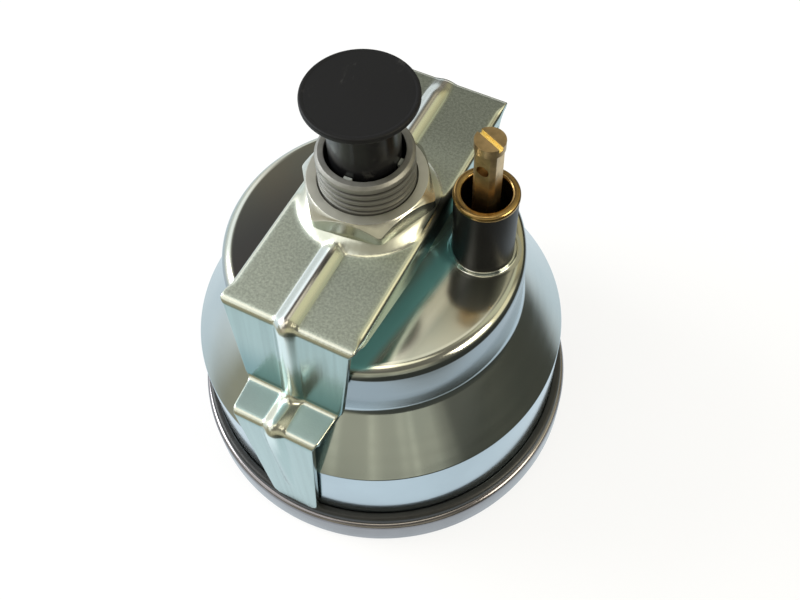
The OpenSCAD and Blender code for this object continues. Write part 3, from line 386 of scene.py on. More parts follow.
def bracket_zinc(name):
    """Matt mottled plating on the flats and smooth bluish plating with draw lines on the legs,
    with painted light across the rib, a painted highlight down each leg's rib, painted shade above
    the knees and painted shade on the strip's far half.
    """
    size = of("bracket")
    # Colours of the painted light on the rib: a pale reflection, a crown tone, a highlight and an
    # olive reflection.
    rib_left_reflection, rib_crown_painted_tone = (0.62, 0.67, 0.65), (0.70, 0.66, 0.59)
    rib_shoulder_highlight, rib_right_reflection = (0.72, 0.71, 0.55), (0.47, 0.49, 0.40)
    # Painted shade above the knee, a painted highlight down the leg's rib, and the shelf's colour.
    knee_painted_shade, leg_rib_highlight, shelf_flat = (0.20, 0.33, 0.33), (0.82, 0.90, 0.87), (0.37, 0.47, 0.45)

    def matt(w):
        """1 on the level faces, which are matt, and 0 on the rib and on all slopes and walls."""
        x, _, z = w.place()
        rib = w.absolute(x).step(2.45 * MM, 2.35 * MM)
        rib = rib * z.step(size.top + 0.05 * MM, size.top + 0.25 * MM)
        return w.upright().step(0.93, 0.985) * (1 - rib)

    def rib_tones(w):
        """Painted light across the pressed rib: a pale painted reflection on its left side, a
        painted tone on the crown, a painted highlight on the shoulder and an olive painted
        reflection on its right side.
        """
        x = w.place()[0]
        tone = x.step(-0.6 * MM, 0.1 * MM).mix(rib_left_reflection, rib_crown_painted_tone)
        tone = x.step(0.5 * MM, 0.9 * MM).mix(tone, rib_shoulder_highlight)
        return x.step(1.2 * MM, 2.2 * MM).mix(tone, rib_right_reflection)

    def base(w):
        x, y, z = w.place()
        grain = w.noise(w.coords(), 2000.0, 3.0, 0.75).step(0.34, 0.66)

        def mottled(share):
            return grain.mix(shade(size.zinc, 0.76 * share), shade(size.zinc, 1.12 * share))

        # Painted shade: the strip's flat is painted darker on the far side, from 6 to 22 mm out.
        flat = y.step(6 * MM, 22 * MM).mix(mottled(1.0), mottled(0.62))
        flat = z.step(size.shelf + 8 * MM, size.shelf + 4 * MM).mix(flat, shelf_flat)
        leg = w.drawn((900, 20, 18)).step(0.3, 0.7).mix(shade(size.leg, 0.9), shade(size.leg))
        # Painted shade: the leg is painted darker towards the knee, just above the shelf.
        knee_shade_mask = z.step(size.shelf + 14 * MM, size.shelf + 1 * MM)
        knee_shade_mask = knee_shade_mask * z.step(size.shelf - 1 * MM, size.shelf)
        leg = knee_shade_mask.mix(leg, knee_painted_shade)
        # Painted highlight: a bright band painted along the rib's crown down the leg.
        ridge = w.absolute(x).step(1.7 * MM, 0.6 * MM)
        ridge = ridge * z.step(size.shelf - 12 * MM, size.shelf + 2 * MM)
        leg = ridge.mix(leg, leg_rib_highlight)
        slope = w.upright().step(0.30, 0.55).mix(leg, shade(size.slope))
        # Painted light across the rib on the strip.
        on_rib = w.absolute(x).step(2.6 * MM, 2.4 * MM)
        on_rib = on_rib * w.absolute(y).step(13.0 * MM, 14.5 * MM)
        on_rib = on_rib * z.step(size.top - 0.4 * MM, size.top)
        slope = on_rib.mix(slope, rib_tones(w))
        return matt(w).mix(slope, flat)

    def rough(w):
        x, y, z = w.place()
        dome = w.apart(x, y).step(14.5 * MM, 13.0 * MM)
        dome = dome * z.step(size.top + 0.1 * MM, size.top + 0.5 * MM) * x.step(0, 4 * MM)
        return 0.22 + 0.24 * matt(w) + 0.16 * dome * (1 - matt(w))

    def height(w):
        grain = w.noise(w.coords(), 1100.0, 2.0, 0.7) * matt(w)
        return grain + 0.8 * (w.drawn((1400, 12, 12)) * (1 - matt(w)))

    return material(name, base, 1.0, rough, bump=height, bump_height=0.03)


def nut_zinc(name):
    """Clouded zinc, smoother on the nut's chamfer, with painted shade that makes its sides darker
    and greener.
    """
    size = of("boss")
    # Colour of the painted shade on the nut's sides.
    side = (0.52, 0.54, 0.49)

    def base(w):
        plain = clouded(w, 260.0, shade(size.nut), shade(size.nut, 0.86), 0.35, detail=2.0)
        # Painted shade: the nut's sides are painted darker and greener than its top and chamfer.
        return w.upright().step(0.25, 0.05).mix(plain, side)

    def rough(w):
        return 0.24 + 0.20 * w.upright().step(0.90, 0.98)

    return material(name, base, 1.0, rough,
                    bump=lambda w: w.noise(w.coords(), 420.0, 2.0), bump_height=0.02)


def casting(name):
    """Grey die casting, painted darker below the boss's end ring and with painted shade between
    the threads.
    """
    size = of("boss")

    def base(w):
        x, y, z = w.place()
        # Painted shade: the thread roots are painted dark.
        root = w.apart(x, y).step(size.radius - 0.15 * MM, size.radius - 0.60 * MM)
        root = root * z.step(size.top - 0.3 * MM, size.top - 0.6 * MM)
        metal = w.noise(w.coords(), 500.0, 3.0, 0.6).step(0.3, 0.7)
        metal = metal.mix(shade(size.casting), shade(size.casting, 0.82))
        # The threaded band below the end ring is painted darker.
        below_ring = z.step(size.top - 0.6 * MM, size.top - 1.4 * MM)
        metal = below_ring.mix(metal, shade(size.casting, 0.66))
        return root.mix(metal, shade(size.casting, 0.22))

    return material(name, base, 0.75, 0.48,
                    bump=lambda w: w.noise(w.coords(), 900.0, 2.0), bump_height=0.02)


def plug_plastic(name):
    """Black plastic, matt and a little scuffed on the disc and smooth on the stem."""
    size = of("plug")
    scuffed = (0.030, 0.030, 0.029)

    def rough(w):
        on_disc = w.place()[2].step(size.top - 2.0 * MM, size.top - 1.3 * MM)
        return 0.20 + 0.28 * on_disc + 0.10 * w.noise(w.coords(), 160.0, 3.0)

    def base(w):
        streaks = w.scaled(w.coords(), (420, 160, 300), (3, 1, 0))
        return w.noise(streaks, 1.0, 4.0, 0.7).step(0.60, 0.74).mix(shade(size.plastic), scuffed)

    return material(name, base, 0.0, rough, Specular_IOR_Level=0.25,
                    bump=lambda w: w.noise(w.coords(), 700.0, 2.0), bump_height=0.012)


def brass_look(name):
    """Brown brass with fine upright lines, for the rolled ferrule."""
    rgb = of("reset").brass
    return material(name, lambda w: clouded(w, 330.0, shade(rgb), shade(rgb, 0.75)), 1.0, 0.24,
                    bump=lambda w: w.drawn((900, 900, 120)), bump_height=0.012)


def shaft_brass(name):
    """Tarnished brass, with a painted highlight in the screwdriver slot."""
    size = of("reset")
    slot_highlight = (1.0, 0.80, 0.28)

    # Painted highlight: the screwdriver slot is painted bright gold, and made less metallic so
    # that the painted colour shows.
    def slot(w):
        x, y, z = w.place()
        inside = w.apart(x - size.x, y - size.y).step(2.76 * MM, 2.70 * MM)
        inside = inside * z.step(size.end - 1.0 * MM, size.end - 0.9 * MM)
        return inside * z.step(size.end - 0.02 * MM, size.end - 0.06 * MM)

    def base(w):
        dull = clouded(w, 420.0, shade(size.shaft), shade(size.shaft, 0.62))
        # The slot's painted highlight over the tarnished brass.
        return slot(w).mix(dull, slot_highlight)

    return material(name, base, lambda w: 1.0 - 0.75 * slot(w), 0.34,
                    bump=lambda w: w.drawn((900, 900, 120)), bump_height=0.012)


def grained(rgb, metallic, rough, scale=300.0, contrast=0.85, bump_height=0.01, **plain):
    """A plain finish with faint patches and a fine grain."""
    def build(name):
        values = rgb() if callable(rgb) else rgb

        return material(name, lambda w: clouded(w, scale, shade(values), shade(values, contrast)),
                        metallic, rough, bump=lambda w: w.noise(w.coords(), scale * 2, 2.0),
                        bump_height=bump_height, **plain)

    return build


LOOKS = {
    "Housing Zinc": case_zinc,
    "Bracket Zinc": bracket_zinc,
    "Nut Zinc": nut_zinc,
    "Boss Casting": casting,
    "Plug Plastic": plug_plastic,
    "Ferrule Brass": brass_look,
    "Shaft Brass": shaft_brass,
    "Tube Enamel": grained(lambda: of("reset").enamel, 0.0, 0.38, 200.0, 0.8, 0.004,
                           Specular_IOR_Level=0.25),
    "Seal Rubber": grained(lambda: of("front").rubber, 0.0, 0.42, 300.0, 0.7, 0.02),
    "Bezel Metal": grained(lambda: of("front").bezel, 1.0, 0.20, 120.0, 0.85, 0.008),
    "Black Paint": grained((0.014, 0.014, 0.014), 0.0, 0.55, 500.0, 0.8, 0.01),
    "Dial Face": grained(lambda: of("dial").face, 0.0, 0.60, 500.0, 0.8, 0.006),
    "Dial Print": grained(lambda: of("dial").print, 0.0, 0.55, 500.0, 0.94, 0.0),
    "Pointer Paint": grained((0.85, 0.84, 0.78), 0.0, 0.45, 400.0, 0.94, 0.004),
    "Drum Plastic": grained((0.015, 0.015, 0.015), 0.0, 0.45, 400.0, 0.8, 0.006),
    "Steel": grained((0.55, 0.55, 0.56), 1.0, 0.30, 260.0, 0.86),
    "Blued Steel": grained((0.20, 0.20, 0.21), 1.0, 0.35, 260.0, 0.8),
    "Key Zinc": grained((0.36, 0.38, 0.36), 0.2, 0.50, 300.0, 0.9),
    "Zinc Screw": grained((0.62, 0.63, 0.60), 1.0, 0.28, 300.0, 0.85),
    "Plate Casting": grained((0.40, 0.40, 0.38), 1.0, 0.45, 420.0, 0.85, 0.02),
    "Aluminium": grained((0.72, 0.73, 0.74), 1.0, 0.28, 300.0, 0.92),
    "Clean Brass": grained((0.60, 0.42, 0.16), 1.0, 0.28, 300.0, 0.85),
    "Bronze": grained((0.42, 0.26, 0.13), 1.0, 0.42, 500.0, 0.8, 0.02),
    "Magnet": grained((0.07, 0.07, 0.075), 0.6, 0.50, 500.0, 0.8, 0.02),
    "Nylon": grained((0.72, 0.69, 0.58), 0.0, 0.42, 300.0, 0.93),
    "Jewel": grained((0.45, 0.03, 0.05), 0.0, 0.12, 300.0, 0.9, 0.0),
    "Spring": grained((0.62, 0.50, 0.26), 1.0, 0.25, 300.0, 0.9, 0.0),
    "Lens Glass": lambda name: material(name, (0.97, 0.985, 0.98), 0.0, 0.0, IOR=1.5,
                                        Transmission_Weight=1.0),
}

NODE_LOOKS = {
    "lens_gasket": "Seal Rubber", "dial_screws": "Blued Steel", "zero_stop_pin": "Steel",
    "rear_plate": "Plate Casting", "front_plate": "Plate Casting", "frame_pillars": "Clean Brass",
    "drive_bush": "Bronze", "drive_shaft": "Steel", "drive_circlip": "Blued Steel",
    "field_cup": "Steel", "magnet": "Magnet", "speed_cup": "Aluminium", "pointer_spindle": "Steel",
    "hairspring_collet": "Clean Brass", "spindle_bridge": "Plate Casting",
    "bridge_screws": "Blued Steel", "spindle_bush": "Jewel", "hairspring": "Spring",
    "hairspring_stud": "Clean Brass", "cross_shaft": "Nylon", "odometer_riser": "Nylon",
    "odometer_shaft": "Steel", "odometer_drive_wheel": "Nylon", "odometer_carry_shaft": "Steel",
    "trip_cross_shaft": "Nylon", "trip_riser": "Nylon", "trip_drive_wheel": "Nylon",
    "trip_shaft": "Steel", "trip_crown_wheel": "Nylon", "trip_carry_shaft": "Steel",
    "trip_carry_pinions": "Nylon", "reset_pinion": "Clean Brass",
    **{f"odometer_carry_pinion_{i}": "Nylon" for i in range(1, 5)},
    **{f"odometer_drum_{i}": "Drum Plastic" for i in range(1, 6)},
    **{f"trip_drum_{i}": "Drum Plastic" for i in range(1, 4)},
}


# Mesh helpers


def fillet(a, b, c, radius):
    """Points of the arc that rounds corner b of the path a, b, c."""
    a, b, c = Vector(a), Vector(b), Vector(c)
    u, v = (a - b).normalized(), (c - b).normalized()
    half = u.angle(v) / 2
    centre = b + (u + v).normalized() * radius / math.sin(half)
    start = b + u * radius / math.tan(half) - centre
    end = b + v * radius / math.tan(half) - centre
    turn = math.atan2(start.x * end.y - start.y * end.x, start.dot(end))
    return [centre + Matrix.Rotation(turn * i / ARC_STEPS, 2) @ start
            for i in range(ARC_STEPS + 1)]


def outline(corners):
    """A closed path of corners (x, y, rounding radius) with its corners rounded."""
    points = []
    for i, (x, y, radius) in enumerate(corners):
        if radius > 0:
            before, after = corners[i - 1], corners[(i + 1) % len(corners)]
            points += fillet(before[:2], (x, y), after[:2], radius)
        else:
            points.append(Vector((x, y)))
    return points


def mark_sharp(bm, angle=SMOOTH_ANGLE):
    """Marks the open edges, and those sharper than the angle, as sharp."""
    for edge in bm.edges:
        edge.smooth = len(edge.link_faces) == 2 and edge.calc_face_angle(0) < angle


def piece_from(name, bm, keep_normals=False, angle=SMOOTH_ANGLE):
    """A scene object from a bmesh, smooth apart from its sharp edges."""
    bmesh.ops.remove_doubles(bm, verts=bm.verts, dist=1e-7)
    if not keep_normals:
        bmesh.ops.recalc_face_normals(bm, faces=bm.faces)
    for face in bm.faces:
        face.smooth = True
    mark_sharp(bm, angle)
    mesh = bpy.data.meshes.new(name)
    bm.to_mesh(mesh)
    bm.free()
    obj = bpy.data.objects.new(name, mesh)
    bpy.context.scene.collection.objects.link(obj)
    return obj


def skin(name, rings, **options):
    """A closed surface through equal rings of points, from each to the next and round again."""
    bm = bmesh.new()
    rows = [[bm.verts.new(p) for p in row] for row in rings]
    width = len(rows[0])
    for a, b in zip(rows, rows[1:] + rows[:1]):
        for j in range(width):
            k = (j + 1) % width
            bm.faces.new((a[j], a[k], b[k], b[j]))
    bmesh.ops.remove_doubles(bm, verts=bm.verts, dist=1e-7)
    bmesh.ops.dissolve_degenerate(bm, dist=1e-8, edges=bm.edges)
    return piece_from(name, bm, **options)


def lathe(name, corners, at=(0.0, 0.0), segments=128):
    """A closed outline of (radius, height, rounding) turned about an upright axis."""
    turns = [2 * math.pi * j / segments for j in range(segments)]
    return skin(name, [[(at[0] + p.x * math.cos(t), at[1] + p.x * math.sin(t), p.y) for t in turns]
                       for p in outline(corners)])


def copy_of(node, name, bevel=0.0):
    """A merged, smooth copy of a CAD node's mesh, with its edges eased if asked."""
    bm = bmesh.new()
    bm.from_mesh(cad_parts[node].data)
    bm.transform(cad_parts[node].matrix_world)
    bmesh.ops.remove_doubles(bm, verts=bm.verts, dist=2e-6)
    bmesh.ops.dissolve_limit(bm, angle_limit=math.radians(0.6), verts=bm.verts, edges=bm.edges)
    obj = piece_from(name, bm, keep_normals=True)
    if bevel:
        mod = obj.modifiers.new("Eased Edges", "BEVEL")
        mod.width, mod.segments, mod.limit_method = bevel, 2, "ANGLE"
        mod.angle_limit, mod.harden_normals = math.radians(40), True
        make_plain(obj)
    return obj


def mesh_of(obj):
    """A plain mesh of the object as its modifiers or its outlines leave it."""
    graph = bpy.context.evaluated_depsgraph_get()
    graph.update()
    return bpy.data.meshes.new_from_object(obj.evaluated_get(graph))


def make_plain(obj):
    """Turns the object's modifiers into plain mesh."""
    mesh = mesh_of(obj)
    obj.modifiers.clear()
    obj.data = mesh


def dress(obj, look_name, body, slot, *nodes):
    """Gives a piece its material, its body and the CAD nodes that it stands for; the slot is not
    used.
    """
    obj.data.materials.clear()
    obj.data.materials.append(look(look_name))
    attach(obj, body)
    if nodes:
        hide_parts(*nodes)


# Geometry Nodes helper


class Grown:
    """Builds a node tree whose inputs are named sizes and turns its result into a plain mesh."""

    def __init__(self, name, sizes):
        self.tree = bpy.data.node_groups.new(name, "GeometryNodeTree")
        face = self.tree.interface
        face.new_socket("Geometry", in_out="OUTPUT", socket_type="NodeSocketGeometry")
        self.sizes = sizes
        for label, value in sizes.items():
            kind = "NodeSocketInt" if isinstance(value, int) else "NodeSocketFloat"
            face.new_socket(label, in_out="INPUT", socket_type=kind).default_value = value
        self.inputs = self.tree.nodes.new("NodeGroupInput")

    def size(self, label):
        """The output that carries one named size."""
        return self.inputs.outputs[label]

    def node(self, kind, *inputs, out=0, settings=None, **named):
        """Adds a node and gives back one output of it."""
        return add_node(self.tree, kind, inputs, named, settings).outputs[out]

    def vector(self, x=0.0, y=0.0, z=0.0):
        return self.node("ShaderNodeCombineXYZ", x, y, z)

    def math(self, operation, a, b=0.0):
        return self.node("ShaderNodeMath", a, b, settings={"operation": operation})

    def finish(self, name, shape, look_name, smooth=True):
        """Realizes, sets the material, runs the tree on an object and keeps the plain mesh."""
        real = self.node("GeometryNodeRealizeInstances", shape)
        if smooth:
            real = self.node("GeometryNodeSetShadeSmooth", real, True, True)
        done = self.node("GeometryNodeSetMaterial", real, None, look(look_name))
        end = self.tree.nodes.new("NodeGroupOutput")
        self.tree.links.new(done, end.inputs[0])
        obj = bpy.data.objects.new(name, bpy.data.meshes.new(name))
        bpy.context.scene.collection.objects.link(obj)
        mod = obj.modifiers.new(name, "NODES")
        mod.node_group = self.tree
        for item in self.tree.interface.items_tree:
            if item.in_out == "INPUT":
                mod[item.identifier] = self.sizes[item.name]
        make_plain(obj)
        bm = bmesh.new()
        bm.from_mesh(obj.data)
        bmesh.ops.remove_doubles(bm, verts=bm.verts, dist=1e-7)
        bmesh.ops.recalc_face_normals(bm, faces=bm.faces)
        mark_sharp(bm)
        bm.to_mesh(obj.data)
        bm.free()
        return obj


class PieceOperator:
    """What every operator of this file shares."""

    bl_options = {"REGISTER", "UNDO"}

    def execute(self, context):
        self.build()
        return {"FINISHED"}


# Directions of the photograph in the row frame: to the picture's right and away from the camera
PHOTO_TURN = 1.00
EAST = Vector((math.sin(PHOTO_TURN), math.cos(PHOTO_TURN), 0))
NORTH = Vector((-math.cos(PHOTO_TURN), math.sin(PHOTO_TURN), 0))

# The camera fitted to the photograph, in its own directions, radians and millimetres
CAMERA_EYE = (0, -112.378, 215.600)
CAMERA_PITCH, CAMERA_YAW, CAMERA_ROLL = 1.02018, 0.03995, -0.06223

# The room that the metal mirrors, one window after another, each over those before it: bearing
# clockwise from the camera's direction and half width in degrees, sines of the lower and the upper
# edge's height, softness of these two edges, and colour
WINDOWS = (
    (-104, 30, -0.35, 0.30, 0.06, (0.40, 0.38, 0.29)),
    (-48, 28, -0.6, 0.66, 0.06, (1.5, 1.53, 1.58)),
    (-92, 52, 0.66, 0.93, 0.06, (1.5, 1.5, 1.45)),
    (-10, 45, -0.6, 0.30, 0.06, (1.0, 1.03, 1.05)),
    (106, 20, 0.12, 0.56, 0.06, (1.35, 1.25, 0.88)),
    (62, 12, -0.1, 0.60, 0.06, (0.62, 0.56, 0.36)),
    (78, 20, 0.58, 0.93, 0.06, (0.76, 0.77, 0.60)),
    (178, 50, 0.92, 1.2, 0.03, (1.9, 1.8, 1.45)),
    (30, 14, 0.60, 0.84, 0.06, (0.42, 0.40, 0.30)),
    (-98, 26, 0.30, 0.66, 0.06, (1.3, 1.33, 1.3)),
    (26, 16, 0.70, 0.98, 0.06, (0.52, 0.50, 0.39)),
    (26, 30, 0.905, 1.1, 0.03, (1.15, 1.13, 1.0)),
    (-29, 28, 0.74, 0.93, 0.06, (0.085, 0.078, 0.088)),
)


def light_path(w, *outputs):
    """1 for the rays named: 0 from the camera, 3 off glossy metal, 6 through glass."""
    rays = [w.node("ShaderNodeLightPath", out=i) for i in outputs]
    return rays[0] if len(rays) == 1 else w.math("ADD", *rays, clamp=True)


class BuildStage(PieceOperator, bpy.types.Operator):
    """Add the floor, the world, the lamps and the camera"""

    bl_idname = "speedometer.stage"
    bl_label = "Stage"

    def build(self):
        bpy.context.scene.view_settings.view_transform = "Standard"
        self.lay_floor()
        self.light_world()
        self.hang_lamps()
        self.place_camera()

    def lay_floor(self):
        """White to the camera; metal mirrors a bright sheet near it and a dull floor beyond."""
        bpy.ops.mesh.primitive_circle_add(vertices=64, radius=4.0, fill_type="NGON",
                                          location=(0, 0, -0.0002))
        floor = bpy.context.object
        floor.name = "floor"
        m = bpy.data.materials.new("Floor")
        m.use_nodes = True
        m.node_tree.nodes.clear()
        w = Wire(m.node_tree)
        x, y, _ = w.place()
        across = x * EAST.x + y * EAST.y
        deep = x * NORTH.x + y * NORTH.y
        distance = w.node("ShaderNodeVectorMath", w.coords(), out=1,
                          settings={"operation": "LENGTH"})
        behind = across.step(0.02, -0.05) * deep.step(-0.02, 0.08) * distance.step(1.6, 0.9)
        sheet = w.math("MAXIMUM", distance.step(0.15, 0.10), behind)
        sheet = sheet * (deep - 0.5 * across).step(-0.080, -0.058)
        glossy = light_path(w, 3)
        white = tuple(of("stage").floor)
        dull = across.step(0.0, -0.2).mix((0.07, 0.07, 0.06), (0.34, 0.32, 0.25))
        paint = w.node("ShaderNodeBsdfDiffuse", (glossy * (1 - sheet)).mix(white, dull))
        seen = w.node("ShaderNodeEmission", (*white, 1), 1.0)
        cool = w.node("ShaderNodeEmission", (0.80, 0.92, 1.0, 1), 1.0)
        lit = w.node("ShaderNodeMixShader", glossy * sheet * 0.85, paint, cool)
        shown = w.node("ShaderNodeMixShader", light_path(w, 0, 6) * 0.80, lit, seen)
        w.node("ShaderNodeOutputMaterial", shown)
        floor.data.materials.append(m)

    def light_world(self):
        """White to the camera and through glass; to everything else a dim room with windows."""
        world = bpy.data.worlds.new("Studio")
        bpy.context.scene.world = world
        world.use_nodes = True
        world.node_tree.nodes.clear()
        w = Wire(world.node_tree)
        direction = w.node("ShaderNodeTexCoord", out=0)
        x, y, up = (w.axis(direction, i) for i in range(3))
        right = x * EAST.x + y * EAST.y
        away = x * NORTH.x + y * NORTH.y
        level = w.math("SQRT", 1.0001 - up * up)

        def panel(toward, half, low, high, lift=0.06, soft=8.0):
            """1 in a window of the sky, with soft edges; the numbers are those of WINDOWS."""
            a = math.radians(toward)
            facing = (right * math.sin(a) + away * math.cos(a)) / level
            side = facing.step(*(math.cos(math.radians(half + edge)) for edge in (soft, -soft)))
            return side * up.step(low - lift, low + lift) * up.step(high + lift, high - lift)

        streaks = w.scaled(direction, (8, 8, 0.5), (0.6, 0.2, 0))
        blots = w.noise(streaks, 1.0, 2.0).step(0.42, 0.60)
        sky = up.step(-0.1, 0.9).mix((0.15, 0.145, 0.115), (0.22, 0.21, 0.185))
        wall = panel(-160, 46, -0.5, 0.50) * (0.60 + 0.40 * blots)
        sky = wall.mix(sky, (0.76, 0.73, 0.56))
        for *edges, rgb in WINDOWS:
            sky = panel(*edges).mix(sky, rgb)
        glow = w.node("ShaderNodeBackground", sky, 1.0)
        white = w.node("ShaderNodeBackground", (1.0, 1.0, 1.0, 1), 1.0)
        w.node("ShaderNodeOutputWorld",
               w.node("ShaderNodeMixShader", light_path(w, 0, 6), glow, white))

    def hang_lamps(self):
        """Two soft square lamps, a warm one on the right and a cool one on the left."""
        target, size = Vector((0, 0, 0.04)), 0.5
        for name, right, away, height, power, rgb in (
                ("key_lamp", 0.90, -0.60, 0.62, 6.0, (1.0, 0.93, 0.76)),
                ("side_lamp", -0.80, 0.30, 0.60, 7.0, (0.93, 0.97, 1.0))):
            data = bpy.data.lights.new(name, "AREA")
            data.shape, data.size, data.size_y = "RECTANGLE", size, size
            data.energy, data.color = power, rgb
            obj = bpy.data.objects.new(name, data)
            obj.location = EAST * right + NORTH * away + Vector((0, 0, height))
            obj.rotation_euler = (target - obj.location).to_track_quat("-Z", "Y").to_euler()
            bpy.context.scene.collection.objects.link(obj)

    def place_camera(self):
        """The camera at the photograph's place and angle."""
        data = bpy.data.cameras.new("photo_camera")
        data.sensor_width, data.lens = 36.0, of("stage").lens
        data.clip_start, data.clip_end = 0.01, 20
        obj = bpy.data.objects.new("photo_camera", data)
        bpy.context.scene.collection.objects.link(obj)
        sin_yaw, cos_yaw = math.sin(CAMERA_YAW), math.cos(CAMERA_YAW)
        sin_pitch, cos_pitch = math.sin(CAMERA_PITCH), math.cos(CAMERA_PITCH)
        forward = Vector((sin_yaw * cos_pitch, cos_yaw * cos_pitch, -sin_pitch))
        level = Vector((cos_yaw, -sin_yaw, 0))
        above = level.cross(forward)
        right = math.cos(CAMERA_ROLL) * level + math.sin(CAMERA_ROLL) * above
        up = -math.sin(CAMERA_ROLL) * level + math.cos(CAMERA_ROLL) * above

        def to_row(v):
            return EAST * v.x + NORTH * v.y + Vector((0, 0, v.z))

        axes = Matrix((to_row(right), to_row(up), to_row(-forward))).transposed()
        eye = to_row(Vector(CAMERA_EYE) * MM)
        obj.matrix_world = Matrix.Translation(eye) @ axes.to_4x4()
        bpy.context.scene.camera = obj


class BuildCase(PieceOperator, bpy.types.Operator):
    """Turn the drawn steel case and the collar round the reset tube"""

    bl_idname = "speedometer.case"
    bl_label = "Case"

    def build(self):
        c, f, r = of("case"), of("front"), of("reset")
        t = c.sheet
        rim, flange = f.radius - f.sheet - 0.2 * MM, f.depth - f.sheet - t
        slope = math.atan((c.radius - c.rear_radius) / (c.cone_top - c.edge))
        drop = t * math.tan(slope / 2)
        hole = of("boss").radius + 0.3 * MM
        case = lathe("case", [
            (rim, flange, 0), (rim, flange + t, 0), (c.radius, flange + t, 0),
            (c.radius, c.edge, 0.6 * MM), (c.rear_radius, c.cone_top, c.blend),
            (c.rear_radius, c.top, c.shoulder), (hole, c.top, 0), (hole, c.top - t, 0),
            (c.rear_radius - t, c.top - t, c.shoulder - t),
            (c.rear_radius - t, c.cone_top - drop, c.blend + t),
            (c.radius - t, c.edge - drop, 0), (c.radius - t, flange, 0)], segments=224)
        dress(case, "Housing Zinc", "body", "case", "case_shell")
        bore, skirt, buried = r.radius + 0.02 * MM, r.radius + 1.5 * MM, c.top - 0.3 * MM
        collar = lathe("case_collar", [
            (bore, buried, 0), (skirt, buried, 0), (skirt, c.top + 0.01 * MM, 0),
            (r.radius + 0.55 * MM, c.top + 0.03 * MM, 0.45 * MM),
            (r.radius + 0.5 * MM, c.top + c.collar, 0.25 * MM), (bore, c.top + c.collar, 0)],
            (r.x, r.y), 96)
        dress(collar, "Housing Zinc", "body", "case")
        screws = copy_of("case_screws", "case_screw_pair", 0.12 * MM)
        dress(screws, "Zinc Screw", "body", "zinc", "case_screws")


class BuildFront(PieceOperator, bpy.types.Operator):
    """Turn the bezel, the lens, the visor ring and the dash seal"""

    bl_idname = "speedometer.front"
    bl_label = "Bezel and Lens"

    def build(self):
        c, f = of("case"), of("front")
        lip, inside, back = c.radius + 0.4 * MM, f.radius - f.sheet, f.depth - f.sheet
        bezel = lathe("bezel_ring", [
            (f.opening, 0, 0.3 * MM), (f.radius, 0, 1.2 * MM), (f.radius, f.depth, 1.2 * MM),
            (lip, f.depth, 0.2 * MM), (lip, back, 0), (inside, back, 0.4 * MM),
            (inside, f.sheet, 0.4 * MM), (f.opening, f.sheet, 0.3 * MM)], segments=224)
        dress(bezel, "Bezel Metal", "body", "bezel", "bezel")
        bore, rear = c.radius + 0.05 * MM, f.depth + f.seal_height
        seal = lathe("dash_seal_ring", [
            (bore, f.depth, 0), (f.seal_radius, f.depth, 0.3 * MM),
            (f.seal_radius, rear, 0.9 * MM), (bore, rear, 0.4 * MM)], segments=200)
        dress(seal, "Seal Rubber", "body", "rubber", "dash_seal")
        low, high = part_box("lens")
        lens = lathe("lens_disc", [
            (0, low[2], 0), (high[0], low[2], 0.2 * MM), (high[0], high[2], 0.2 * MM),
            (0, high[2], 0)])
        dress(lens, "Lens Glass", "body", "lens", "lens")
        low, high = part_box("visor_ring")
        skirt, shelf = c.radius - c.sheet - 0.6 * MM, back - c.sheet
        visor = lathe("visor", [
            (f.opening + 1.0 * MM, low[2], 0.2 * MM), (high[0], low[2], 0), (high[0], shelf, 0),
            (skirt, shelf, 0), (skirt, high[2], 0), (f.opening - 0.2 * MM, high[2], 0.2 * MM)])
        dress(visor, "Black Paint", "body", "black", "visor_ring")


def rib_shape(x, half):
    """Cross-section of the pressed rib: 1 on its round crown, straight slopes and a small toe."""
    crown, toe = 0.45, 0.06
    d = abs(x) / half
    if d < crown:
        rise = 1 - crown / 2 - d * d / (2 * crown)
    elif d < 1 - toe:
        rise = 1 - d
    elif d < 1 + toe:
        rise = (1 + toe - d) ** 2 / (4 * toe)
    else:
        rise = 0.0
    return rise / (1 - crown / 2)


def ramp(value, low, high):
    """0 at low and 1 at high, smooth at both ends."""
    k = max(0.0, min(1.0, (value - low) / (high - low)))
    return k * k * (3 - 2 * k)


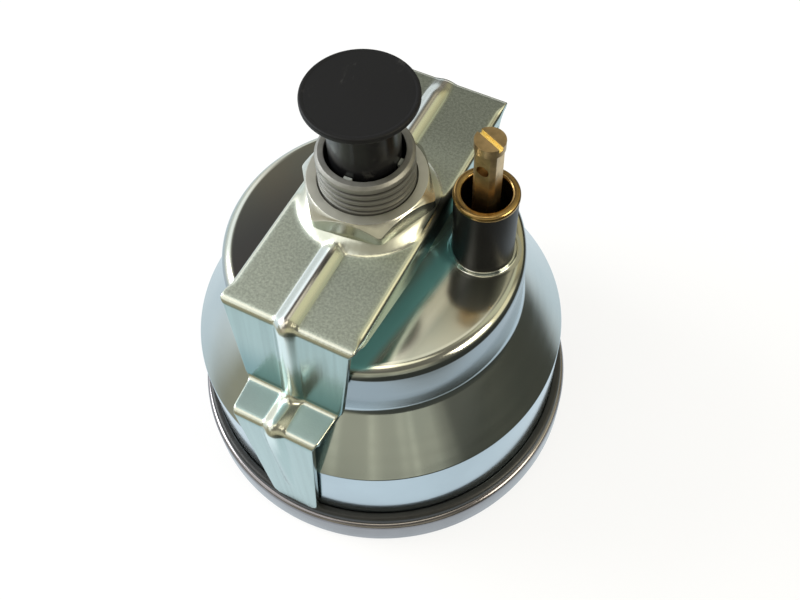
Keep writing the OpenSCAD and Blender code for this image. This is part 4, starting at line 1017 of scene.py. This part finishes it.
class BuildBracket(PieceOperator, bpy.types.Operator):
    """Press the clamp bracket out of one sheet, with its rib, dome and turned-down edges"""

    bl_idname = "speedometer.bracket"
    bl_label = "Bracket"

    # Rows along the strip, the leg, the shelf and the foot, with an arc's rows between two of
    # them, and the rows in the middle of the bend, of the shelf's arc and of the foot's arc
    STRIP, LEG, SHELF, FOOT = 44, 12, 5, 30
    BEND_ROW = STRIP + ARC_STEPS // 2
    SHELF_ROW = STRIP + ARC_STEPS + LEG + ARC_STEPS // 2
    FOOT_ROW = SHELF_ROW + ARC_STEPS + SHELF

    # Steps across half the section: over the rib, the flat, the rounded edge and the hem's bend
    ACROSS_RIB, ACROSS_FLAT, ROUND_EDGE, ROUND_HEM = 8, 18, 5, 3

    def side(self, grow, bend, radii):
        """One end's side view, from the middle to the foot, sampled alike for every grow."""
        b = of("bracket")
        corners = [(0, b.top), (bend, b.top), (b.knee, b.shelf), (b.foot, b.shelf),
                   (b.foot, b.foot_end)]
        corners = [(y + grow if i else 0, z + grow if z > b.foot_end else z)
                   for i, (y, z) in enumerate(corners)]
        arcs = [fillet(*corners[i:i + 3], radius) for i, radius in enumerate(radii)]
        ends = [Vector(corners[0]), *(p for arc in arcs for p in (arc[0], arc[-1])),
                Vector(corners[-1])]
        points = []
        for i, count in enumerate((self.STRIP, self.LEG, self.SHELF, self.FOOT)):
            start, stop = ends[2 * i], ends[2 * i + 1]
            points += [start.lerp(stop, k / count) for k in range(count)]
            points += arcs[i][:-1] if i < len(arcs) else [stop]
        return points

    def quarter(self, steps):
        """The angles of a quarter turn in equal steps, both ends included."""
        return [math.pi / 2 * k / steps for k in range(steps + 1)]

    def half_width(self, row, z, last):
        """Half the sheet's width at a row: full on the strip, less down the leg and the foot."""
        b = of("bracket")
        knee, foot, end, rounding = 9.9 * MM, 8.9 * MM, 5.3 * MM, 1.0 * MM
        if row <= self.BEND_ROW:
            return b.half_width
        if row <= self.SHELF_ROW:
            down = (row - self.BEND_ROW) / (self.SHELF_ROW - self.BEND_ROW)
            return b.half_width + (knee - b.half_width) * down
        if row <= self.FOOT_ROW:
            return knee + (foot - knee) * (row - self.SHELF_ROW) / (self.FOOT_ROW - self.SHELF_ROW)
        down = (row - self.FOOT_ROW) / (last - self.FOOT_ROW)
        corner = max(0.0, 1 - (z - b.foot_end) / rounding)
        cut = 1 - math.sqrt(max(0.0, 1 - corner * corner))
        return foot + (end - foot) * down - rounding * cut

    def rows(self, bend, sign, rib_left):
        """Cross-sections from the middle to one foot; rib_left is the rib's share at the bend."""
        b = of("bracket")
        t, rib = b.sheet, b.rib_height
        outer = self.side(0, bend, (1.6 * MM, 1.2 * MM, 1.6 * MM))
        inner = self.side(-t, bend, (0.4 * MM, 2.4 * MM, 0.4 * MM))
        crown = self.side(rib, bend, (2.8 * MM, 2.4 * MM, 2.8 * MM))
        under = self.side(rib - t, bend, (1.6 * MM, 3.4 * MM, 1.6 * MM))
        dome_foot, dome_slope = 13.7 * MM, 2.7 * MM
        edge_depth, edge_slope, edge_from = 6.0 * MM, 3.2 * MM, 10.6 * MM
        edge_round, sheet_round, hem = 1.35 * MM, 0.30 * MM, 0.35 * MM
        rib_end, rib_fades, rib_tip = 19 * MM, b.shelf - 6 * MM, 0.45
        rows = []
        for i, p in enumerate(outer):
            y, z = p
            w = self.half_width(i, z, len(outer) - 1)
            out = Vector((p - inner[i])).normalized()
            past = ramp(y, bend - 4.2 * MM, bend - 1.6 * MM) if i < self.BEND_ROW else 1.0
            toward_bend = min(1.0, max(0.0, (y - edge_from) / (bend - 2.6 * MM - edge_from)))
            depth = edge_depth - edge_slope * toward_bend
            depth = depth + (t - depth) * past
            round_r = edge_round * (1 - past) + sheet_round * past
            fade = 1.0 if z > rib_fades else max(0.0, (z - rib_end) / (rib_fades - rib_end))
            rib_half = b.rib_width / 2 * (rib_tip + (1 - rib_tip) * fade)
            rib_fade = fade ** 0.8 * (1 - (1 - rib_left) * ramp(y, bend - 6 * MM, bend - 1 * MM))
            rib_fade *= 1 - 0.25 * ramp(i, self.BEND_ROW + 4, self.SHELF_ROW - 2) * (
                1 - ramp(i, self.SHELF_ROW + 2, self.FOOT_ROW - 3))
            slim = w - round_r
            xs = [rib_half * k / self.ACROSS_RIB * 1.1 for k in range(self.ACROSS_RIB + 1)]
            xs += [xs[-1] + (slim - xs[-1]) * k / self.ACROSS_FLAT
                   for k in range(1, self.ACROSS_FLAT + 1)]

            def at(x, rise_from, rise_to):
                q = rise_from[i].lerp(rise_to[i], rib_shape(x, rib_half) * rib_fade)
                if i < self.STRIP:
                    k = (dome_foot - math.hypot(x, y)) / dome_slope
                    k = 0.5 * max(0.0, min(1.0, k)) + 0.5 * ramp(k, 0, 1)
                    q.y = max(q.y, rise_from[i].y + b.dome * k)
                return (x, sign * q.x, q.y)

            def end(x, h):
                q = p + out * h
                return (x, sign * q.x, q.y)

            top = [at(x, outer, crown) for x in xs]
            for a in self.quarter(self.ROUND_EDGE)[1:]:
                top.append(end(slim + round_r * math.sin(a), -round_r * (1 - math.cos(a))))
            top += [end(w, -(round_r + depth) / 2), end(w, -depth)]
            lip = min(hem, depth - t)
            low = [end(w - t, -depth), end(w - t, -(depth + t + lip) / 2)]
            for a in self.quarter(self.ROUND_HEM):
                low.append(end(w - t - hem * (1 - math.cos(a)), -t - lip * (1 - math.sin(a))))
            edge = w - t - hem
            low += [at(min(x, edge * x / slim if x > rib_half * 1.2 else x), inner, under)
                    for x in reversed(xs)]
            flip_top, flip_low = ([(-x, yy, zz) for x, yy, zz in part] for part in (top, low))
            rows.append(top + low + flip_low[-2::-1] + flip_top[:0:-1])
        return rows

    def build(self):
        b = of("bracket")
        near = self.rows(b.bend, -1, 1.0)
        far = self.rows(b.bend + b.far_reach, 1, 0.3)
        bm = bmesh.new()
        grid = [[bm.verts.new(p) for p in row] for row in near[:0:-1] + far]
        count = len(grid[0])
        for a, c in zip(grid[:-1], grid[1:]):
            for j in range(count):
                k = (j + 1) % count
                bm.faces.new((a[j], a[k], c[k], c[j]))
        bm.faces.new(grid[0])
        bm.faces.new(grid[-1][::-1])
        bmesh.ops.remove_doubles(bm, verts=bm.verts, dist=1e-6)
        bmesh.ops.dissolve_degenerate(bm, dist=1e-7, edges=bm.edges)
        bmesh.ops.recalc_face_normals(bm, faces=bm.faces)
        obj = piece_from("clamp_bracket", bm, keep_normals=True)
        bpy.ops.mesh.primitive_cylinder_add(vertices=96, radius=of("boss").radius + 0.3 * MM,
                                            depth=12 * MM, location=(0, 0, b.top))
        drill = bpy.context.object
        hole = obj.modifiers.new("Hole", "BOOLEAN")
        hole.operation, hole.solver, hole.object = "DIFFERENCE", "EXACT", drill
        make_plain(obj)
        bpy.data.objects.remove(drill)
        bm = bmesh.new()
        bm.from_mesh(obj.data)
        for face in bm.faces:
            face.smooth = True
        mark_sharp(bm, math.radians(42))
        bm.to_mesh(obj.data)
        bm.free()
        dress(obj, "Bracket Zinc", "bracket", "bracket", "mounting_bracket")


class BuildNut(PieceOperator, bpy.types.Operator):
    """Turn and chamfer the hexagon nut"""

    bl_idname = "speedometer.nut"
    bl_label = "Nut"

    def build(self):
        s, b = of("boss"), of("bracket")
        bottom = b.top + b.dome
        top, chamfer, nick = bottom + 4.4 * MM, 2.5 * MM, 0.12 * MM
        corner_top = bottom + 1.9 * MM
        flat = s.nut_corner * math.cos(math.radians(30))
        cone = chamfer / (s.nut_corner + 0.1 * MM - s.nut_top)
        bore, worn = s.radius + 0.05 * MM, s.nut_corner - 0.25 * MM
        per_side = 40
        profiles = []
        for k in range(per_side):
            r = flat / math.cos(abs(math.radians(60) * k / per_side - math.radians(30)))
            if r > worn:
                r = worn + 0.35 * (r - worn)
            edge = corner_top + (s.nut_corner + 0.1 * MM - r) * cone
            low = bottom + max(0.0, (r - s.nut_corner + 0.7 * MM)) * 0.5
            profiles.append([
                (bore, bottom + 0.4 * MM), (bore + 0.4 * MM, bottom), (flat - 0.3 * MM, bottom),
                (r - nick, low), (r, low + nick), (r, edge - nick),
                (r - 0.03 * MM, edge - 0.04 * MM), (r - nick, edge + 0.05 * MM),
                (r * 0.5 + s.nut_top * 0.5, (edge + top) / 2),
                (s.nut_top + 0.06 * MM, top - 0.06 * MM), (s.nut_top, top - 0.01 * MM),
                (s.nut_top - 0.06 * MM, top), (bore + 0.25 * MM, top), (bore, top - 0.25 * MM)])
        turns = [s.nut_turn + math.radians(60) * (side + k / per_side)
                 for side in range(6) for k in range(per_side)]
        rings = [[(r * math.cos(a), r * math.sin(a), z)
                  for a, (r, z) in zip(turns, [profile[i] for profile in profiles] * 6)]
                 for i in range(len(profiles[0]))]
        nut = skin("hexagon_nut", rings, angle=math.radians(24))
        dress(nut, "Nut Zinc", "nut", "nut", "mounting_nut")


class BuildBoss(PieceOperator, bpy.types.Operator):
    """Turn the cable boss, wind its thread and set the keys in its socket"""

    bl_idname = "speedometer.boss"
    bl_label = "Cable Boss"

    def build(self):
        s, c = of("boss"), of("case")
        low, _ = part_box("drive_boss")
        bush, flange, under = 4.5 * MM, 12.5 * MM, c.top - c.sheet
        floor = of("bracket").top - 1 * MM
        root, plain = s.radius - 0.86 * MM, s.radius - 0.1 * MM
        ring = s.radius - 0.05 * MM
        body = lathe("cable_boss", [
            (bush, low[2], 0), (flange, low[2], 0), (flange, under, 0), (plain, under, 0),
            (plain, floor, 0.2 * MM), (root, floor + 0.6 * MM, 0.3 * MM),
            (root, s.top - 2.05 * MM, 0.3 * MM), (ring, s.top - 1.55 * MM, 0.25 * MM),
            (ring, s.top - 0.55 * MM, 0.25 * MM), (s.radius - 0.6 * MM, s.top, 0.2 * MM),
            (s.socket, s.top, 0.15 * MM), (s.socket, floor, 0), (bush, floor, 0)], segments=144)
        dress(body, "Boss Casting", "body", "casting", "drive_boss")

        start = floor + 1.1 * MM
        turns = (s.top - 2.1 * MM - start) / s.pitch
        g = Grown("Wound Thread", {"Pitch": s.pitch, "Turns": turns, "Crest Radius": s.radius,
                                   "Depth": 0.92 * MM, "Start Height": start})
        middle = g.math("SUBTRACT", g.size("Crest Radius"), g.size("Depth"))
        rise = g.math("MULTIPLY", g.size("Pitch"), g.size("Turns"))
        helix = g.node("GeometryNodeCurveSpiral", 96, g.size("Turns"), middle, middle, rise, False)
        helix = g.node("GeometryNodeSetCurveNormal", helix, settings={"mode": "Z_UP"})
        tall, foot, crest = 0.88 * MM, 0.70 * MM, 0.34 * MM
        tooth = g.node("GeometryNodeCurvePrimitiveQuadrilateral", settings={"mode": "POINTS"},
                       Point_1=(0, -foot, 0), Point_2=(-tall, -crest, 0),
                       Point_3=(-tall, crest, 0), Point_4=(0, foot, 0))
        ridge = g.node("GeometryNodeCurveToMesh", helix, tooth, Fill_Caps=True)
        ridge = g.node("GeometryNodeTransform", ridge,
                       Translation=g.vector(z=g.size("Start Height")))
        thread = g.finish("cable_thread", ridge, "Boss Casting")
        dress(thread, "Boss Casting", "body", "casting")

        depth = s.top - 0.25 * MM - floor
        g = Grown("Socket Keys", {"Count": 4, "Socket Radius": s.socket, "Key Height": s.key,
                                  "Key Width": 1.5 * MM, "Key Length": depth, "Floor": floor})
        bar = g.vector(g.math("MULTIPLY", g.size("Key Height"), 2.0),
                       g.size("Key Width"), g.size("Key Length"))
        cube = g.node("GeometryNodeMeshCube", bar)
        ring = g.node("GeometryNodeMeshCircle", g.size("Count"), g.size("Socket Radius"))
        turn = g.math("MULTIPLY", g.node("GeometryNodeInputIndex"), math.pi / 2)
        keys = g.node("GeometryNodeInstanceOnPoints", ring, Instance=cube,
                      Rotation=g.vector(z=turn))
        height = g.math("ADD", g.size("Floor"), g.math("MULTIPLY", g.size("Key Length"), 0.5))
        keys = g.node("GeometryNodeTransform", keys, Translation=g.vector(z=height),
                      Rotation=(0, 0, math.radians(3)))
        keys = g.finish("socket_keys", keys, "Key Zinc", smooth=False)
        dress(keys, "Key Zinc", "body", "zinc")


class BuildPlug(PieceOperator, bpy.types.Operator):
    """Turn the dust plug"""

    bl_idname = "speedometer.plug"
    bl_label = "Dust Plug"

    def build(self):
        p = of("plug")
        low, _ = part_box("dust_plug")
        under, wall, sunk = p.top - p.thickness, 1.2 * MM, p.top - 0.05 * MM
        plug = lathe("cable_dust_plug", [
            (0, sunk, 0), (p.radius - 0.9 * MM, sunk, 0.3 * MM),
            (p.radius - 0.6 * MM, p.top, 0.2 * MM), (p.radius, p.top, 0.35 * MM),
            (p.radius, under, 0.3 * MM), (p.stem, under, 0.6 * MM), (p.stem, low[2], 0.5 * MM),
            (p.stem - wall, low[2], 0), (p.stem - wall, under - wall, 0), (0, under - wall, 0)],
            segments=144)
        dress(plug, "Plug Plastic", "plug", "plug", "dust_plug")


class BuildReset(PieceOperator, bpy.types.Operator):
    """Turn the reset tube and its ferrule and finish the reset shaft"""

    bl_idname = "speedometer.reset"
    bl_label = "Trip Reset"

    def build(self):
        r, c = of("reset"), of("case")
        at = (r.x, r.y)
        low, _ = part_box("reset_tube")
        top, inner = r.rim - r.ferrule, r.radius - r.wall
        under, flange = c.top - c.sheet, 7.3 * MM
        tube = lathe("reset_guard_tube", [
            (inner, low[2], 0), (flange, low[2], 0), (flange, under, 0), (r.radius, under, 0),
            (r.radius, top, 0.1 * MM), (inner, top, 0.1 * MM)], at, 96)
        dress(tube, "Tube Enamel", "body", "tube", "reset_tube")
        sleeve, fit, end = inner - 0.37 * MM, inner - 0.02 * MM, top - 5.0 * MM
        rolled = r.radius + 0.16 * MM
        rim = lathe("brass_ferrule", [
            (sleeve, end, 0), (fit, end, 0), (fit, top, 0), (rolled, top, 0.5 * MM),
            (rolled, r.rim, 0.68 * MM), (sleeve, r.rim, 0.68 * MM)], at, 96)
        dress(rim, "Ferrule Brass", "body", "brass", "reset_ferrule")
        shaft = copy_of("reset_shaft", "trip_reset_shaft", 0.14 * MM)
        dress(shaft, "Shaft Brass", "reset", "reset_brass", "reset_shaft")


def flat_text(name, body, size):
    """A flat mesh of one number, centred on its middle."""
    data = bpy.data.curves.new(name, "FONT")
    data.body, data.size = body, size
    data.align_x, data.align_y = "CENTER", "CENTER"
    data.resolution_u = 4
    obj = bpy.data.objects.new(name, data)
    bpy.context.scene.collection.objects.link(obj)
    mesh = mesh_of(obj)
    bpy.data.objects.remove(obj)
    return mesh


# The dial's scale in the row frame, in degrees: the rest stop and the way to full speed
SCALE_START, SCALE_SWEEP = 45, 270


class BuildDial(PieceOperator, bpy.types.Operator):
    """Print the scale and its numbers on the dial and finish the pointer"""

    bl_idname = "speedometer.dial"
    bl_label = "Dial"

    def print_marks(self, name, marks, first, intervals, long, wide, level):
        """Equal marks round the scale, the first at that share of an interval from the stop."""
        d = of("dial")
        g = Grown(name.replace("_", " ").title(), {
            "Marks": marks, "First": first, "Intervals": float(intervals),
            "Inner Radius": d.mark_end - long, "Outer Radius": d.mark_end,
            "Mark Width": wide, "Height": level})
        inner, outer = g.size("Inner Radius"), g.size("Outer Radius")
        bar = g.node("GeometryNodeMeshCube",
                     g.vector(g.math("SUBTRACT", outer, inner), g.size("Mark Width"), 0.04 * MM))
        middle = g.math("MULTIPLY", g.math("ADD", inner, outer), 0.5)
        bar = g.node("GeometryNodeTransform", bar, Translation=g.vector(middle))
        share = g.math("ADD", g.node("GeometryNodeInputIndex"), g.size("First"))
        share = g.math("DIVIDE", share, g.size("Intervals"))
        angle = g.math("ADD", g.math("MULTIPLY", share, math.radians(SCALE_SWEEP)),
                       math.radians(SCALE_START))
        points = g.node("GeometryNodePoints", g.size("Marks"))
        ring = g.node("GeometryNodeInstanceOnPoints", points, Instance=bar,
                      Rotation=g.vector(z=angle))
        ring = g.node("GeometryNodeTransform", ring, Translation=g.vector(z=g.size("Height")))
        dress(g.finish(name, ring, "Dial Print", smooth=False), "Dial Print", "body", "dial")

    def print_numbers(self, intervals, level):
        """The speeds round the scale, each turned to follow the circle."""
        d = of("dial")
        bm = bmesh.new()
        for i in range(intervals + 1):
            a = math.radians(SCALE_START + SCALE_SWEEP * (i / intervals))
            c, s = math.cos(a), math.sin(a)
            mesh = flat_text("speed", str(i * d.step), d.figure)
            mesh.transform(Matrix(((-s, c, 0, d.ring * c), (c, s, 0, d.ring * s),
                                   (0, 0, -1, level), (0, 0, 0, 1))))
            bm.from_mesh(mesh)
            bpy.data.meshes.remove(mesh)
        dress(piece_from("speed_numbers", bm, keep_normals=True), "Dial Print", "body", "dial")

    def build(self):
        d = of("dial")
        low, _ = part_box("dial")
        level = low[2] - 0.03 * MM
        intervals = d.top_speed // d.step
        dress(copy_of("dial", "dial_plate"), "Dial Face", "body", "dial", "dial")
        self.print_marks("major_marks", intervals + 1, 0.0, intervals, 3.1 * MM, 0.75 * MM, level)
        self.print_marks("minor_marks", intervals, 0.5, intervals, 1.7 * MM, 0.4 * MM, level)
        self.print_numbers(intervals, level)
        dress(copy_of("pointer", "speed_pointer", 0.08 * MM),
              "Pointer Paint", "speed", "pointer", "pointer")
        dress(copy_of("pointer_cap", "pointer_boss"),
              "Black Paint", "speed", "black", "pointer_cap")


class BuildCounters(PieceOperator, bpy.types.Operator):
    """Print the figures round the drums of both counters"""

    bl_idname = "speedometer.counters"
    bl_label = "Counters"

    def rolled_figure(self, digit, centre, radius):
        """The mesh of one figure, bent round a drum at the tenth of a turn that is its own."""
        size, narrow, longest = 3.0 * MM, 0.82, 0.5 * MM
        mesh = flat_text("figure", str(digit), size)
        bm = bmesh.new()
        bm.from_mesh(mesh)
        bpy.data.meshes.remove(mesh)
        for _ in range(2):
            long_edges = [e for e in bm.edges if e.calc_length() > longest]
            bmesh.ops.subdivide_edges(bm, edges=long_edges, cuts=1)
            bmesh.ops.triangulate(bm, faces=bm.faces)
        for v in bm.verts:
            a = math.pi * 1.5 + 2 * math.pi * digit / 10 - v.co.y / radius
            v.co = Vector((centre.x + radius * math.cos(a), centre.y - v.co.x * narrow,
                           centre.z + radius * math.sin(a)))
        mesh = bpy.data.meshes.new("figure")
        bm.to_mesh(mesh)
        bm.free()
        return mesh

    def build(self):
        sets = [(f"odometer_drum_{i}", f"drum_{i}", f"odometer_figures_{i}") for i in range(1, 6)]
        sets += [(f"trip_drum_{i}", "trip_counter", f"trip_figures_{i}") for i in range(1, 4)]
        for node, body, name in sets:
            low, high = (Vector(v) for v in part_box(node))
            radius = (high.z - low.z) / 2 + 0.02 * MM
            bm = bmesh.new()
            for digit in range(10):
                mesh = self.rolled_figure(digit, (low + high) / 2, radius)
                bm.from_mesh(mesh)
                bpy.data.meshes.remove(mesh)
            dress(piece_from(name, bm, keep_normals=True), "Dial Print", body, "drum")


class BuildMovement(PieceOperator, bpy.types.Operator):
    """Give the movement's parts inside the case their finishes"""

    bl_idname = "speedometer.movement"
    bl_label = "Movement"

    def build(self):
        for node, name in NODE_LOOKS.items():
            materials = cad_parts[node].data.materials
            if not materials:
                materials.append(look(name))
            for i in range(len(materials)):
                materials[i] = look(name)


OPERATORS = (BuildStage, BuildCase, BuildFront, BuildBracket, BuildNut, BuildBoss, BuildPlug,
             BuildReset, BuildDial, BuildCounters, BuildMovement)

GROUPS = {
    "case": CaseSizes, "front": FrontSizes, "bracket": BracketSizes, "boss": BossSizes,
    "plug": PlugSizes, "reset": ResetSizes, "dial": DialLook, "stage": StageLook,
}


class SpeedometerPanel(bpy.types.Panel):
    """Lists the speedometer's sizes, colours and operators"""

    bl_idname = "VIEW3D_PT_speedometer"
    bl_label = "Speedometer"
    bl_space_type = "VIEW_3D"
    bl_region_type = "UI"
    bl_category = "Speedometer"

    def draw(self, context):
        layout = self.layout
        for name, group in GROUPS.items():
            box = layout.box()
            for key in group.__annotations__:
                box.prop(of(name), key)
        for operator in OPERATORS:
            layout.operator(operator.bl_idname)


def register():
    for cls in (*GROUPS.values(), *OPERATORS, SpeedometerPanel):
        bpy.utils.register_class(cls)
    for name, group in GROUPS.items():
        setattr(bpy.types.Scene, PROPERTY.format(name), PointerProperty(type=group))


def unregister():
    for name in GROUPS:
        delattr(bpy.types.Scene, PROPERTY.format(name))
    for cls in (SpeedometerPanel, *reversed(OPERATORS), *reversed(GROUPS.values())):
        bpy.utils.unregister_class(cls)


def main():
    register()
    for operator in OPERATORS:
        family, name = operator.bl_idname.split(".")
        getattr(getattr(bpy.ops, family), name)()


if __name__ == "__main__":
    main()
